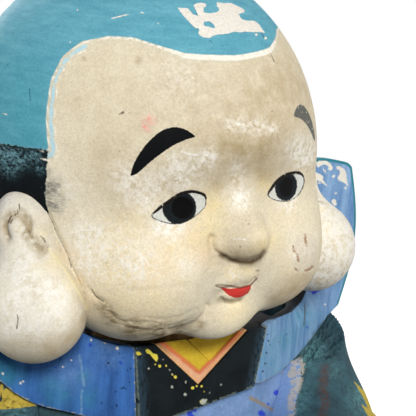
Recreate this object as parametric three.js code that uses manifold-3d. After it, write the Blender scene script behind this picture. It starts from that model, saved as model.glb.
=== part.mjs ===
// Fukusuke: a kneeling papier-mache figure whose weighted head nods on a pin inside its neck.
// Millimetres, +Z up. The face looks along -Y, so the figure's left hand is on +X.
import * as THREE from 'three';
import { mergeVertices } from 'three/addons/utils/BufferGeometryUtils.js';
import Module from 'manifold-3d';

const wasm = await Module();
wasm.setup();

// Walls and clearances
const GAP = 0.3;
const PAPER_WALL = 3;
const NOD_CLEARANCE = 2.5;
const SEAM_Y = 2;

// Head: an egg-shaped cranium with a low, wide face, measured from the eye line
const EYE_LEVEL = 255;
const HEAD_TILT = 6;
const NOD_DOWN = 3;
const NOD_UP = 6;
const CRANIUM_WIDTH = 188;
const CRANIUM_DEPTH = 202;
const CRANIUM_HEIGHT = 202;
const CRANIUM_FOOT = -89;
const FACE_WIDTH = 149;
const JAW_DEPTH = 74;
const CHEEK_SPREAD = 41;
const EYE_SPREAD = 33;
const NOSE_LEVEL = -21;
const MOUTH_LEVEL = -47;
const CHIN_LEVEL = -65.5;
const EAR_Y = -45;
const EAR_SINK = 4;
const LOBE_RADIUS = 25;
const LOBE_LEVEL = -50;
const EAR_TOP_LEVEL = -17;
const EAR_SETBACK = 18;
const EAR_TUCK = 8;
const TOPKNOT_RADIUS = 10;
const TOPKNOT_LENGTH = 44;
const TOPKNOT_Y = 72;
const TOPKNOT_DROP = 32;

// Neck works: a wooden stem swings on a steel pin between two posts
const PIVOT_Y = -11.7;
const PIVOT_Z = 142;
const PIN_RADIUS = 2.5;
const STEM_RADIUS = 9;
const STEM_FOOT = 22;
const PLUG_RADIUS = 34;
const PLUG_HEIGHT = 18;
const POST_SPREAD = 40;
const POST_WIDTH = 12;
const POST_DEPTH = 20;
const POST_HEAD = 7;
const WEIGHT_RADIUS = 31;
const WEIGHT_HEIGHT = 46;

// Body: chest, lap and what they wear
const CHEST_WIDTH = 180;
const CHEST_BACK = 60;
const CHEST_FRONT = -54;
const CHEST_BOTTOM = 56;
const CHEST_TOP = 158;
const CHEST_ROUND = 40;
const NECK_HOLE_WIDTH = 100;
const NECK_HOLE_DEPTH = 76;
const LAP_WIDTH = 256;
const LAP_DEPTH = 244;
const LAP_Y = 10;
const LAP_TOP = 84;
const THIGH_RADIUS = 42;
const KNEE_SPREAD = 64;
const KNEE_Y = -98;
const PLEATS = 5;
const PLEAT_DEPTH = 1.6;
const WAIST_HOLE_WIDTH = 124;
const WAIST_HOLE_DEPTH = 78;
const BASE_THICKNESS = 6;
const SLEEVE_SPREAD = 120;
const SLEEVE_FLARE = 150;
const SLEEVE_SETBACK = 4;
const SLEEVE_BELLY = 60;
const SLEEVE_EASE = 1.5;
const CUFF_RADIUS = 25;
const HAND_SPREAD = 52;

// Stiff shoulder boards and the layered collars
const BOARD_THICKNESS = 5;
const BOARD_RAKE = 0.48;
const WING_Y = -11;
const WING_SPREAD = 147;
const WING_TOP = 256;
const WING_BULGE = 9;
const SHOULDER_LEVEL = 178;
const HEM_LEVEL = 139;
const HEM_RISE = 25;
const LAPEL_FOOT = 39;
const LAPEL_HEAD = 44;
const LAPEL_TOP = 173;
const BACK_BOARD_THICKNESS = 4;
const BACK_FLAT = 66;
const BACK_CURL = 0.0113;
const BACK_FOOT = 94;
const BACK_NAPE = 152;
const COLLAR_FOOT = 128;
const COLLAR_TOP = 172;
const COLLAR_SPREAD = 31;
const LAPEL_CROSS = 17;
const OUTER_COLLAR_TIP = 145;
const MIDDLE_COLLAR_TIP = 156.5;
const MIDDLE_COLLAR_SHIFT = 7.5;
const MIDDLE_COLLAR_SPREAD = 18.5;
const OUTER_COLLAR_THICKNESS = 5;
const MIDDLE_COLLAR_THICKNESS = 3.5;
const UNDER_COLLAR_THICKNESS = 2;

const radians = THREE.MathUtils.degToRad;
const { lerp, smoothstep } = THREE.MathUtils;

// Signed distance fields: negative inside, positive outside

function ellipsoid([cx, cy, cz], [rx, ry, rz]) {
  return ({ x, y, z }) => {
    const [a, b, c] = [(x - cx) / rx, (y - cy) / ry, (z - cz) / rz];
    const level = Math.hypot(a, b, c);
    const slope = Math.hypot(a / rx, b / ry, c / rz);
    return slope > 0 ? level * (level - 1) / slope : -Math.min(rx, ry, rz);
  };
}

function capsule(start, end, startRadius, endRadius) {
  const from = new THREE.Vector3(...start);
  const along = new THREE.Vector3(...end).sub(from);
  const length = along.lengthSq();
  return (p) => {
    const offset = new THREE.Vector3().subVectors(p, from);
    const t = THREE.MathUtils.clamp(offset.dot(along) / length, 0, 1);
    return offset.addScaledVector(along, -t).length() - lerp(startRadius, endRadius, t);
  };
}

function roundBox(low, high, radius) {
  const centre = low.map((value, axis) => (value + high[axis]) / 2);
  const half = low.map((value, axis) => (high[axis] - value) / 2 - radius);
  return ({ x, y, z }) => {
    const q = [x, y, z].map((value, axis) => Math.abs(value - centre[axis]) - half[axis]);
    const outside = Math.hypot(...q.map((value) => Math.max(value, 0)));
    return outside + Math.min(Math.max(...q), 0) - radius;
  };
}

const smoothMin = (a, b, width) => {
  const share = Math.max(width - Math.abs(a - b), 0) / width;
  return Math.min(a, b) - share * share * width / 4;
};
const blend = (width, first, second) => (p) => smoothMin(first(p), second(p), width);
const carve = (width, body, tool) => (p) => -smoothMin(-body(p), tool(p), width);
const grow = (field, distance) => (p) => field(p) - distance;
const bothSides = (field) => (p) => field({ x: Math.abs(p.x), y: p.y, z: p.z });

// Lays a sphere's grid on a field, so that the form becomes a closed surface. A focus over 1 crowds
// the rings toward -Y, where the face is.
function wrap(field, centre, columns, rows, pole = 'z', focus = 1) {
  const farAway = 600;
  const patience = 400;
  const geometry = new THREE.SphereGeometry(1, columns, rows);
  const position = geometry.attributes.position;
  const middle = new THREE.Vector3(...centre);
  const ray = new THREE.Vector3();
  const point = new THREE.Vector3();
  for (let i = 0; i < position.count; i += 1) {
    ray.fromBufferAttribute(position, i);
    const polar = Math.acos(THREE.MathUtils.clamp(ray.y, -1, 1)) / Math.PI;
    const turned = Math.PI * (1 - (1 - polar) ** focus);
    const across = Math.hypot(ray.x, ray.z) || 1;
    const spread = Math.sin(turned) / across;
    ray.set(ray.x * spread, Math.cos(turned), ray.z * spread);
    if (pole === 'z') ray.set(ray.x, -ray.z, ray.y);
    let reach = farAway;
    for (let step = 0; step < patience; step += 1) {
      point.copy(middle).addScaledVector(ray, reach);
      const distance = field(point);
      if (Math.abs(distance) < 1e-4) break;
      reach -= distance * 0.7;
    }
    position.setXYZ(i, point.x, point.y, point.z);
  }
  return geometry;
}

// A sheet with a thickness: place(u, v, t) gives the point across, up and through it
function sheet(columns, rows, place) {
  const geometry = new THREE.BoxGeometry(1, 1, 1, columns, 1, rows);
  const position = geometry.attributes.position;
  for (let i = 0; i < position.count; i += 1) {
    const point = place(position.getX(i) + 0.5, position.getZ(i) + 0.5, position.getY(i) + 0.5);
    position.setXYZ(i, ...point);
  }
  return geometry;
}

// A flat outline in X and Z, given a depth from front to back along Y
function plate(points, front, back) {
  const shape = new THREE.Shape(points.map(([x, z]) => new THREE.Vector2(x, z)));
  const geometry = new THREE.ExtrudeGeometry(shape, { depth: back - front, bevelEnabled: false });
  return geometry.rotateX(Math.PI / 2).translate(0, back, 0);
}

function block(low, high) {
  const size = high.map((value, axis) => value - low[axis]);
  const centre = low.map((value, axis) => (value + high[axis]) / 2);
  return new THREE.BoxGeometry(...size).translate(...centre);
}

function upright(radius, low, high, sides) {
  const cylinder = new THREE.CylinderGeometry(radius, radius, high - low, sides);
  return cylinder.rotateX(Math.PI / 2).translate(0, 0, (low + high) / 2);
}

function mirrored(geometry) {
  const copy = geometry.index ? geometry.toNonIndexed() : geometry.clone();
  copy.scale(-1, 1, 1);
  const values = copy.attributes.position.array;
  for (let i = 0; i < values.length; i += 9) {
    const second = values.slice(i + 3, i + 6);
    values.copyWithin(i + 3, i + 6, i + 9);
    values.set(second, i + 6);
  }
  return copy;
}

// Closed geometry to solid and back again
function solid(geometry) {
  const bare = geometry.clone();
  bare.deleteAttribute('normal');
  bare.deleteAttribute('uv');
  const merged = mergeVertices(bare);
  const vertProperties = new Float32Array(merged.attributes.position.array);
  const triVerts = new Uint32Array(merged.index.array);
  return new wasm.Manifold(new wasm.Mesh({ numProp: 3, vertProperties, triVerts }));
}

function surface(body) {
  const { vertProperties, triVerts } = body.getMesh();
  const geometry = new THREE.BufferGeometry();
  geometry.setAttribute('position', new THREE.BufferAttribute(vertProperties, 3));
  geometry.setIndex(new THREE.BufferAttribute(triVerts, 1));
  geometry.computeVertexNormals();
  return geometry;
}

// The scene graph: the head hangs in a group that leans to the figure's right
const figure = new THREE.Group();
const neck = new THREE.Group();
const head = new THREE.Group();
neck.position.set(0, 0, PIVOT_Z);
neck.rotation.y = -radians(HEAD_TILT);
head.position.set(0, 0, EYE_LEVEL - PIVOT_Z);
neck.add(head);
figure.add(neck);
figure.updateMatrixWorld(true);
const headFromWorld = head.matrixWorld.clone().invert();

function add(parent, name, body, color, roughness, metalness = 0) {
  const material = new THREE.MeshStandardMaterial({ color, roughness, metalness });
  const mesh = new THREE.Mesh(surface(body), material);
  mesh.name = name;
  parent.add(mesh);
}

const SKIN = 0xe4dcc2;
const CAP_BLUE = 0x5aa5b8;
const INK = 0x14181a;
const BOARD_BLUE = 0x4f78b4;
const CLOTH_TEAL = 0x364a53;
const COLLAR_ORANGE = 0xcf8a62;
const COLLAR_YELLOW = 0xd6b83f;
const BARE_WOOD = 0xb9935f;
const RAW_PAPER = 0xb7a88a;
const STEEL = 0x8d8f92;
const IRON = 0x4b4845;

// Head form

const CRANIUM_Y = 2;
const brow = CRANIUM_Y - CRANIUM_DEPTH / 2;
const crownTop = CRANIUM_FOOT + CRANIUM_HEIGHT;
const cranium = ellipsoid(
  [0, CRANIUM_Y, (CRANIUM_FOOT + crownTop) / 2],
  [CRANIUM_WIDTH / 2, CRANIUM_DEPTH / 2, CRANIUM_HEIGHT / 2],
);
const lowerFace = ellipsoid([0, brow + 85, 42 - JAW_DEPTH], [FACE_WIDTH / 2, 55, 42]);
const cheeks = bothSides(ellipsoid([CHEEK_SPREAD, brow + 51, -33.5], [32, 38, 29]));
const jowls = bothSides(ellipsoid([CHEEK_SPREAD - 4, brow + 42.5, -47], [32.5, 27.5, 24.5]));
const chin = ellipsoid([0, brow + 29, CHIN_LEVEL], [20, 10.5, 12]);
const eyeHollows = bothSides(ellipsoid([EYE_SPREAD + 4, brow - 27, -2.5], [38.5, 40, 25]));
const bridgeHollow = ellipsoid([0, brow - 21, -7], [26.5, 32.5, 27]);
const muzzle = ellipsoid([0, brow + 28.5, MOUTH_LEVEL + 8.5], [17, 13, 12]);
const eyeballs = bothSides(ellipsoid([EYE_SPREAD + 3, brow + 28, -2.8], [22, 9.3, 14]));
const noseBridge = capsule([0, brow + 24, NOSE_LEVEL + 28], [0, brow + 15, NOSE_LEVEL + 6], 7.5, 10.5);
const noseTip = ellipsoid([0, brow + 7.5, NOSE_LEVEL], [11.5, 11.5, 10.5]);
const noseWings = bothSides(ellipsoid([9.5, brow + 15.5, NOSE_LEVEL - 4.5], [8, 9, 7.2]));
const upperLip = bothSides(ellipsoid([5, brow + 18, MOUTH_LEVEL + 5.5], [9, 5.2, 4.6]));
const lowerLip = ellipsoid([0, brow + 18.5, MOUTH_LEVEL - 3.5], [9.5, 5, 4.6]);

const nose = blend(3.5, blend(7, noseBridge, noseTip), noseWings);
let headForm = blend(30, cranium, lowerFace);
headForm = blend(20, headForm, cheeks);
headForm = blend(12, headForm, jowls);
headForm = blend(11, headForm, chin);
headForm = carve(22, headForm, eyeHollows);
headForm = carve(18, headForm, bridgeHollow);
headForm = blend(8, headForm, muzzle);
headForm = blend(4, headForm, eyeballs);
headForm = blend(6, headForm, nose);
headForm = blend(4, headForm, upperLip);
headForm = blend(2.5, headForm, lowerLip);

const earX = CRANIUM_WIDTH / 2 - EAR_SINK;
const lobe = ellipsoid([earX, EAR_Y, LOBE_LEVEL], [LOBE_RADIUS, LOBE_RADIUS, LOBE_RADIUS + 1]);
const earRim = ellipsoid([earX - EAR_TUCK, EAR_Y + EAR_SETBACK, EAR_TOP_LEVEL], [15, 20, 20]);
const earBowl = ellipsoid([earX + 17 - EAR_TUCK, EAR_Y + EAR_SETBACK, EAR_TOP_LEVEL + 2], [8, 8, 9]);
const earForm = carve(4, blend(16, lobe, earRim), earBowl);

// Head shells, moulded in two halves that meet behind the ears

const HEAD_CENTRE = [0, 0, -10];
const FACE_FOCUS = 1.7;
const headSkin = solid(wrap(headForm, HEAD_CENTRE, 46, 30, 'y', FACE_FOCUS));
const headSeat = solid(wrap(grow(headForm, GAP), HEAD_CENTRE, 46, 30, 'y', FACE_FOCUS));
const headHollow = solid(wrap(grow(headForm, -PAPER_WALL), HEAD_CENTRE, 18, 14, 'y'));
const room = CRANIUM_DEPTH + CRANIUM_WIDTH;
const frontHalf = solid(block([-room, -room, -room], [room, SEAM_Y - GAP / 2, room]));
const rearHalf = solid(block([-room, SEAM_Y + GAP / 2, -room], [room, room, room]));
const jawFloor = new THREE.Vector3(0, PIVOT_Y, -room);
for (let step = 0; step < 200; step += 1) jawFloor.z += 0.7 * headForm(jawFloor);
const plugBottom = jawFloor.z - GAP;
const neckHole = upright(PLUG_RADIUS, -room, -JAW_DEPTH / 2, 28).translate(0, PIVOT_Y, 0);
const headShell = headSkin.subtract(headHollow).subtract(solid(neckHole));
add(head, 'face_shell', headShell.intersect(frontHalf), SKIN, 0.7);
add(head, 'crown_shell', headShell.intersect(rearHalf), CAP_BLUE, 0.7);

const ear = wrap(earForm, [earX, EAR_Y + 2, (LOBE_LEVEL + EAR_TOP_LEVEL) / 2], 18, 12);
add(head, 'left_ear', solid(ear).subtract(headSeat), SKIN, 0.7);
add(head, 'right_ear', solid(mirrored(ear)).subtract(headSeat), SKIN, 0.7);

const topknotFoot = [0, TOPKNOT_Y, crownTop - TOPKNOT_DROP];
const topknotTip = [0, TOPKNOT_Y - TOPKNOT_LENGTH * 0.82, topknotFoot[2] + TOPKNOT_LENGTH * 0.62];
const topknot = capsule(topknotFoot, topknotTip, TOPKNOT_RADIUS + 1, TOPKNOT_RADIUS);
const topknotCentre = topknotFoot.map((value, axis) => (value + topknotTip[axis]) / 2);
add(head, 'topknot', solid(wrap(topknot, topknotCentre, 14, 12)).subtract(headSeat), INK, 0.7);

// Neck works: plug, stem, weight, pin and posts

const stemTop = EYE_LEVEL + plugBottom + PLUG_HEIGHT - GAP;
const stem = upright(STEM_RADIUS, STEM_FOOT, stemTop, 20).translate(0, PIVOT_Y, 0);
const stemBore = upright(STEM_RADIUS + GAP, STEM_FOOT - GAP, EYE_LEVEL, 20).translate(0, PIVOT_Y, 0);
const plug = upright(PLUG_RADIUS - GAP, plugBottom, plugBottom + PLUG_HEIGHT, 28).translate(0, PIVOT_Y, 0);
const plugBore = stemBore.clone().applyMatrix4(headFromWorld);
add(head, 'neck_plug', solid(plug).subtract(solid(plugBore)), BARE_WOOD, 0.8);

const pinReach = POST_SPREAD + POST_WIDTH / 2;
const pinAlong = (radius) => new THREE.CylinderGeometry(radius, radius, 2 * pinReach, 16)
  .rotateZ(Math.PI / 2)
  .translate(0, PIVOT_Y, PIVOT_Z);
const pinBore = solid(pinAlong(PIN_RADIUS + GAP).scale(1.2, 1, 1));
add(figure, 'pivot_pin', solid(pinAlong(PIN_RADIUS)), STEEL, 0.35, 1);
add(figure, 'neck_stem', solid(stem).subtract(pinBore), BARE_WOOD, 0.8);

const weight = upright(WEIGHT_RADIUS, STEM_FOOT, STEM_FOOT + WEIGHT_HEIGHT, 24).translate(0, PIVOT_Y, 0);
add(figure, 'counterweight', solid(weight).subtract(solid(stemBore)), IRON, 0.6, 1);

const postFoot = BASE_THICKNESS + GAP;
for (const [side, name] of [[1, 'left_post'], [-1, 'right_post']]) {
  const x = side * POST_SPREAD;
  const post = block(
    [x - POST_WIDTH / 2, PIVOT_Y - POST_DEPTH / 2, postFoot],
    [x + POST_WIDTH / 2, PIVOT_Y + POST_DEPTH / 2, PIVOT_Z + POST_HEAD],
  );
  add(figure, name, solid(post).subtract(pinBore), BARE_WOOD, 0.8);
}

// Room for the head at both ends of its nod
const nodPoses = [-NOD_UP, 0, NOD_DOWN].map((angle) => {
  const turn = new THREE.Matrix4().makeTranslation(0, PIVOT_Y, PIVOT_Z)
    .multiply(new THREE.Matrix4().makeRotationX(-radians(angle)))
    .multiply(new THREE.Matrix4().makeTranslation(0, -PIVOT_Y, -PIVOT_Z));
  return headFromWorld.clone().multiply(turn);
});
const headAndEars = (p) => Math.min(headForm(p), bothSides(earForm)(p));
const nodRoom = (p) => {
  const distances = nodPoses.map((pose) => headAndEars(p.clone().applyMatrix4(pose)));
  return Math.min(...distances) - NOD_CLEARANCE;
};
const headPlace = new THREE.Vector3(...HEAD_CENTRE).applyMatrix4(head.matrixWorld);
const headRoom = solid(wrap(nodRoom, headPlace.toArray(), 52, 38));

// Shoulder boards: each a stiff front panel that runs up into a wing. They were cut by hand, so the
// two hems and the two ridges differ.

const boardRake = (x) => {
  const slant = BOARD_RAKE * Math.max(Math.abs(x) - LAPEL_HEAD, 0);
  return Math.min(CHEST_FRONT + slant, WING_Y);
};
const boardFront = (x, z) => {
  const shoulder = smoothstep(Math.abs(x), LAPEL_HEAD + 28, LAPEL_HEAD + 60);
  const rise = smoothstep(z, SHOULDER_LEVEL - 18, SHOULDER_LEVEL + 6);
  return lerp(boardRake(x), WING_Y, shoulder * rise);
};
const across = (share) => lerp(LAPEL_FOOT, WING_SPREAD, share);
const spline = (points) => {
  const curve = new THREE.SplineCurve(points.map(([x, z]) => new THREE.Vector2(x, z)));
  return (t) => curve.getPoint(t);
};
const lapelTop = [LAPEL_HEAD, LAPEL_TOP];
const wingFoot = [across(0.96), HEM_LEVEL + HEM_RISE];
const wingInside = [[across(0.62), SHOULDER_LEVEL + 24], [across(0.67), WING_TOP - 20]];
const wingTop = [[across(0.77), WING_TOP], [across(0.97), WING_TOP - 1]];
const boardOutlines = {
  left: {
    hem: [[LAPEL_FOOT, HEM_LEVEL + 2], [across(0.25), HEM_LEVEL + 1], [across(0.5), HEM_LEVEL + 4.5],
      [across(0.68), HEM_LEVEL + 10], [across(0.85), HEM_LEVEL + 17], wingFoot],
    ridge: [lapelTop, [across(0.25), SHOULDER_LEVEL - 3], [across(0.45), SHOULDER_LEVEL - 1.5],
      [across(0.57), SHOULDER_LEVEL + 5], ...wingInside, ...wingTop],
  },
  right: {
    hem: [[LAPEL_FOOT, COLLAR_FOOT], [across(0.25), HEM_LEVEL - 2.5], [across(0.42), HEM_LEVEL + 2.5],
      [across(0.52), HEM_LEVEL + 8.5], [across(0.62), HEM_LEVEL + 17], [across(0.8), HEM_LEVEL + 21], wingFoot],
    ridge: [lapelTop, [across(0.18), SHOULDER_LEVEL + 1.5], [across(0.32), SHOULDER_LEVEL + 8],
      [across(0.54), SHOULDER_LEVEL + 5], ...wingInside, ...wingTop],
  },
};
function board(side, edge, front, back) {
  const hem = spline(boardOutlines[side].hem);
  const ridge = spline(boardOutlines[side].ridge);
  return sheet(14, 7, (u, v, t) => {
    const low = hem(u);
    const high = ridge(u);
    const bulge = WING_BULGE * Math.sin(Math.PI * v) * smoothstep(u, 0.55, 1);
    const x = lerp(low.x, high.x, v) + bulge;
    const z = lerp(low.y, high.y, v);
    return [x + lerp(-edge, edge, u), boardFront(x, z) + lerp(front, back, t), z + lerp(-edge, edge, v)];
  });
}
const sides = [['left', (shape) => shape], ['right', mirrored]];
const boardSeats = {};
for (const [side, flip] of sides) {
  const panel = solid(flip(board(side, 0, 0, BOARD_THICKNESS)));
  boardSeats[side] = solid(flip(board(side, GAP, -SLEEVE_SPREAD, BOARD_THICKNESS + GAP)));
  add(figure, `${side}_shoulder_board`, panel.subtract(headRoom), BOARD_BLUE, 0.65);
}

// Back board: one stiff panel that curls round from behind one wing to the other

const backFace = (x) => {
  const curl = CHEST_BACK + GAP - BACK_CURL * Math.max(Math.abs(x) - BACK_FLAT, 0) ** 2;
  return Math.max(curl, WING_Y + BOARD_THICKNESS + GAP);
};
const bothWays = (half) => [...half.map(([x, z]) => [-x, z]).reverse(), [0, half[0][1]], ...half];
const backHem = spline(bothWays([[across(0.1), BACK_FOOT], [across(0.5), BACK_FOOT + HEM_RISE], wingFoot]));
const backRidge = spline(bothWays([[across(0.1), BACK_NAPE], [across(0.5), SHOULDER_LEVEL - 8],
  [across(0.96), SHOULDER_LEVEL + 8]]));
function backSheet(edge, front, back) {
  return sheet(24, 4, (u, v, t) => {
    const low = backHem(u);
    const high = backRidge(u);
    const x = lerp(low.x, high.x, v);
    const z = lerp(low.y - edge, high.y + edge, v);
    return [x + (2 * u - 1) * edge, backFace(x) + lerp(front, back, t), z];
  });
}
const backSeat = solid(backSheet(GAP, -GAP, room));
const backBoard = solid(backSheet(0, 0, BACK_BOARD_THICKNESS)).subtract(headRoom);
add(figure, 'back_board', backBoard, BOARD_BLUE, 0.65);

// Chest: a boxy shell whose front lies close behind the boards and the collars

const chestBox = roundBox(
  [-CHEST_WIDTH / 2, CHEST_FRONT, CHEST_BOTTOM],
  [CHEST_WIDTH / 2, CHEST_BACK, CHEST_TOP],
  CHEST_ROUND,
);
const behindBoards = ({ x, y, z }) => boardFront(x, z) + BOARD_THICKNESS + GAP - y;
const chestForm = (p) => Math.max(chestBox(p), behindBoards(p));

const pleatRipple = ({ x, y }) => {
  const frontness = smoothstep(-y, 20, 90);
  return PLEAT_DEPTH * frontness * Math.cos(Math.PI * PLEATS * x / LAP_WIDTH * 2);
};
const lapDome = ellipsoid([0, LAP_Y, 18], [LAP_WIDTH / 2, LAP_DEPTH / 2, LAP_TOP - 18]);
const thighs = bothSides(capsule([52, 20, 44], [KNEE_SPREAD, KNEE_Y, 37], THIGH_RADIUS, THIGH_RADIUS - 2));
const lapBody = blend(40, lapDome, thighs);
const lapForm = (p) => lapBody(p) - pleatRipple(p);

const CHEST_CENTRE = [0, 6, 112];
const LAP_CENTRE = [0, -10, 30];
const wrapChest = (distance) => solid(wrap(grow(chestForm, distance), CHEST_CENTRE, 32, 18));
const wrapLap = (distance) => solid(wrap(grow(lapForm, distance), LAP_CENTRE, 56, 14));
const chestSkin = wrapChest(0);
const chestSeat = wrapChest(GAP);
const lapSkin = wrapLap(0);
const lapSeat = wrapLap(GAP);
const lapHollow = solid(wrap(grow(lapBody, -PAPER_WALL - PLEAT_DEPTH), LAP_CENTRE, 28, 12));
const chestHollow = solid(wrap(grow(chestForm, -PAPER_WALL), CHEST_CENTRE, 20, 12));
const aboveFloor = solid(block([-room, -room, 0], [room, room, room]));
const oval = (width, depth, low, high) => solid(
  upright(1, low, high, 36).scale(width / 2, depth / 2, 1).translate(0, PIVOT_Y, 0),
);

const neckOpening = oval(NECK_HOLE_WIDTH, NECK_HOLE_DEPTH, CHEST_TOP - CHEST_ROUND, CHEST_TOP + CHEST_ROUND);
const chestShell = chestSkin
  .subtract(chestHollow)
  .subtract(neckOpening)
  .subtract(headRoom)
  .subtract(lapSeat)
  .subtract(boardSeats.left)
  .subtract(boardSeats.right)
  .subtract(backSeat);
add(figure, 'chest_shell', chestShell.intersect(frontHalf), BOARD_BLUE, 0.7);
add(figure, 'back_shell', chestShell.intersect(rearHalf), CLOTH_TEAL, 0.7);

const waistOpening = oval(WAIST_HOLE_WIDTH, WAIST_HOLE_DEPTH, BASE_THICKNESS * 2, LAP_TOP * 2);
const lapShell = lapSkin.subtract(lapHollow).subtract(waistOpening).intersect(aboveFloor);
add(figure, 'hakama_front', lapShell.intersect(frontHalf), BOARD_BLUE, 0.7);
add(figure, 'hakama_back', lapShell.intersect(rearHalf), BOARD_BLUE, 0.7);

const baseSlab = solid(block([-room, -room, 0], [room, room, BASE_THICKNESS]));
const baseForm = grow(lapBody, -PAPER_WALL - PLEAT_DEPTH - GAP);
const baseBoard = solid(wrap(baseForm, LAP_CENTRE, 28, 12)).intersect(baseSlab);
add(figure, 'base_board', baseBoard, RAW_PAPER, 0.85);

// Collars: black over orange over yellow, layered on the flat of the chest

const chestFlat = CHEST_FRONT + BOARD_THICKNESS;
const lapelEdge = (z) => lerp(LAPEL_FOOT, LAPEL_HEAD, (z - HEM_LEVEL) / (LAPEL_TOP - HEM_LEVEL)) - GAP;
const outerSlope = (COLLAR_TOP - OUTER_COLLAR_TIP) / COLLAR_SPREAD;
const crossLevel = OUTER_COLLAR_TIP - LAPEL_CROSS * outerSlope;
const leftOuter = [
  [COLLAR_SPREAD, COLLAR_TOP],
  [-LAPEL_CROSS, crossLevel],
  [lapelEdge(HEM_LEVEL), HEM_LEVEL],
  [lapelEdge(COLLAR_TOP), COLLAR_TOP],
];
const overFlat = (points, thickness) => plate(points, chestFlat - thickness, chestFlat);
const leftCollar = solid(overFlat(leftOuter, OUTER_COLLAR_THICKNESS));
add(figure, 'left_outer_collar', leftCollar.subtract(headRoom).subtract(lapSeat), INK, 0.6);

const rightOuter = [
  [-COLLAR_SPREAD, COLLAR_TOP],
  [-lapelEdge(COLLAR_TOP), COLLAR_TOP],
  [-lapelEdge(COLLAR_FOOT), COLLAR_FOOT],
  [-LAPEL_CROSS - GAP, crossLevel],
  [-GAP, OUTER_COLLAR_TIP + GAP],
];
const rightCollar = solid(overFlat(rightOuter, OUTER_COLLAR_THICKNESS - 1));
add(figure, 'right_outer_collar', rightCollar.subtract(headRoom).subtract(lapSeat), INK, 0.6);

const middleLeft = MIDDLE_COLLAR_SHIFT + MIDDLE_COLLAR_SPREAD;
const middleRight = MIDDLE_COLLAR_SHIFT - MIDDLE_COLLAR_SPREAD;
const middleCollar = [
  [0, OUTER_COLLAR_TIP + 2 * GAP],
  [COLLAR_SPREAD - GAP, COLLAR_TOP],
  [middleLeft, COLLAR_TOP],
  [MIDDLE_COLLAR_SHIFT, MIDDLE_COLLAR_TIP],
  [middleRight, COLLAR_TOP],
  [GAP - COLLAR_SPREAD, COLLAR_TOP],
];
const orangeBand = solid(overFlat(middleCollar, MIDDLE_COLLAR_THICKNESS));
add(figure, 'middle_collar', orangeBand.subtract(headRoom), COLLAR_ORANGE, 0.65);

const underCollar = [
  [MIDDLE_COLLAR_SHIFT, MIDDLE_COLLAR_TIP + 2 * GAP],
  [middleLeft - GAP, COLLAR_TOP],
  [middleRight + GAP, COLLAR_TOP],
];
const yellowFill = solid(overFlat(underCollar, UNDER_COLLAR_THICKNESS));
add(figure, 'under_collar', yellowFill.subtract(headRoom), COLLAR_YELLOW, 0.65);

// Sleeves hang from under the boards, flare to the table and reach forward to the cuffs

const upperArm = capsule([SLEEVE_SPREAD - 8, 0, SHOULDER_LEVEL - 28], [SLEEVE_SPREAD - 6, -8, 100], 30, 37);
const sleeveBag = ellipsoid([SLEEVE_FLARE, 0, 42], [57, 48, 58]);
const forearm = capsule([SLEEVE_SPREAD - 8, -30, 88], [HAND_SPREAD + 18, -80, 92], 38, CUFF_RADIUS);
const sleeveBulk = blend(26, blend(10, upperArm, sleeveBag), forearm);
const sleeveFace = ({ x, y, z }) => {
  const belly = SLEEVE_BELLY * (1 - smoothstep(z, CUFF_RADIUS + 45, HEM_LEVEL));
  return boardRake(x) + SLEEVE_SETBACK - belly - y;
};
const sleeveForm = (p) => Math.max(sleeveBulk(p), sleeveFace(p));
const sleeveCentre = [SLEEVE_SPREAD, -10, 84];
const leftSleeve = wrap(sleeveForm, sleeveCentre, 22, 16);
const sleeveSeat = wrap(grow(sleeveForm, GAP), sleeveCentre, 22, 16);
const sleeveHollow = wrap(grow(sleeveForm, -PAPER_WALL), sleeveCentre, 16, 12);
const sleeveFloor = solid(block([-room, -room, PAPER_WALL], [room, room, room]));

// Hands: loose fists that rest on the thighs

const FINGER_PITCH = 9.4;
const palm = ellipsoid([HAND_SPREAD, -96, 84], [21, 26, 14]);
let handForm = palm;
for (const finger of [-1.5, -0.5, 0.5, 1.5]) {
  const x = HAND_SPREAD + finger * FINGER_PITCH;
  handForm = blend(2.5, handForm, capsule([x, -108, 89], [x, -121, 80], 6, 5.2));
}
const thumb = capsule([HAND_SPREAD - 17, -92, 86], [HAND_SPREAD - 22, -108, 84], 6.5, 5.5);
handForm = blend(4, handForm, thumb);
const leftHand = wrap(handForm, [HAND_SPREAD, -103, 83], 26, 14, 'y', 1.4);

for (const [side, flip] of sides) {
  const sleeve = solid(flip(leftSleeve))
    .subtract(solid(flip(sleeveHollow)).intersect(sleeveFloor))
    .subtract(chestSeat)
    .subtract(lapSeat)
    .subtract(boardSeats[side])
    .subtract(solid(backSheet(GAP, -SLEEVE_EASE, room)))
    .intersect(aboveFloor);
  add(figure, `${side}_sleeve`, sleeve, CLOTH_TEAL, 0.75);
  const hand = solid(flip(leftHand)).subtract(lapSeat).subtract(solid(flip(sleeveSeat)));
  add(figure, `${side}_hand`, hand, SKIN, 0.7);
}

export default figure;
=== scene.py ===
"""Painted looks of a kneeling papier-mache figure with a nodding head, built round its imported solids."""
import logging
import math
from collections.abc import Callable, Sequence
from dataclasses import dataclass, field, replace
from enum import Enum

import bmesh
import bpy
import numpy as np
from bpy.types import Material, NodeSocket, NodeTree, Object
from mathutils import Matrix, Vector


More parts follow.
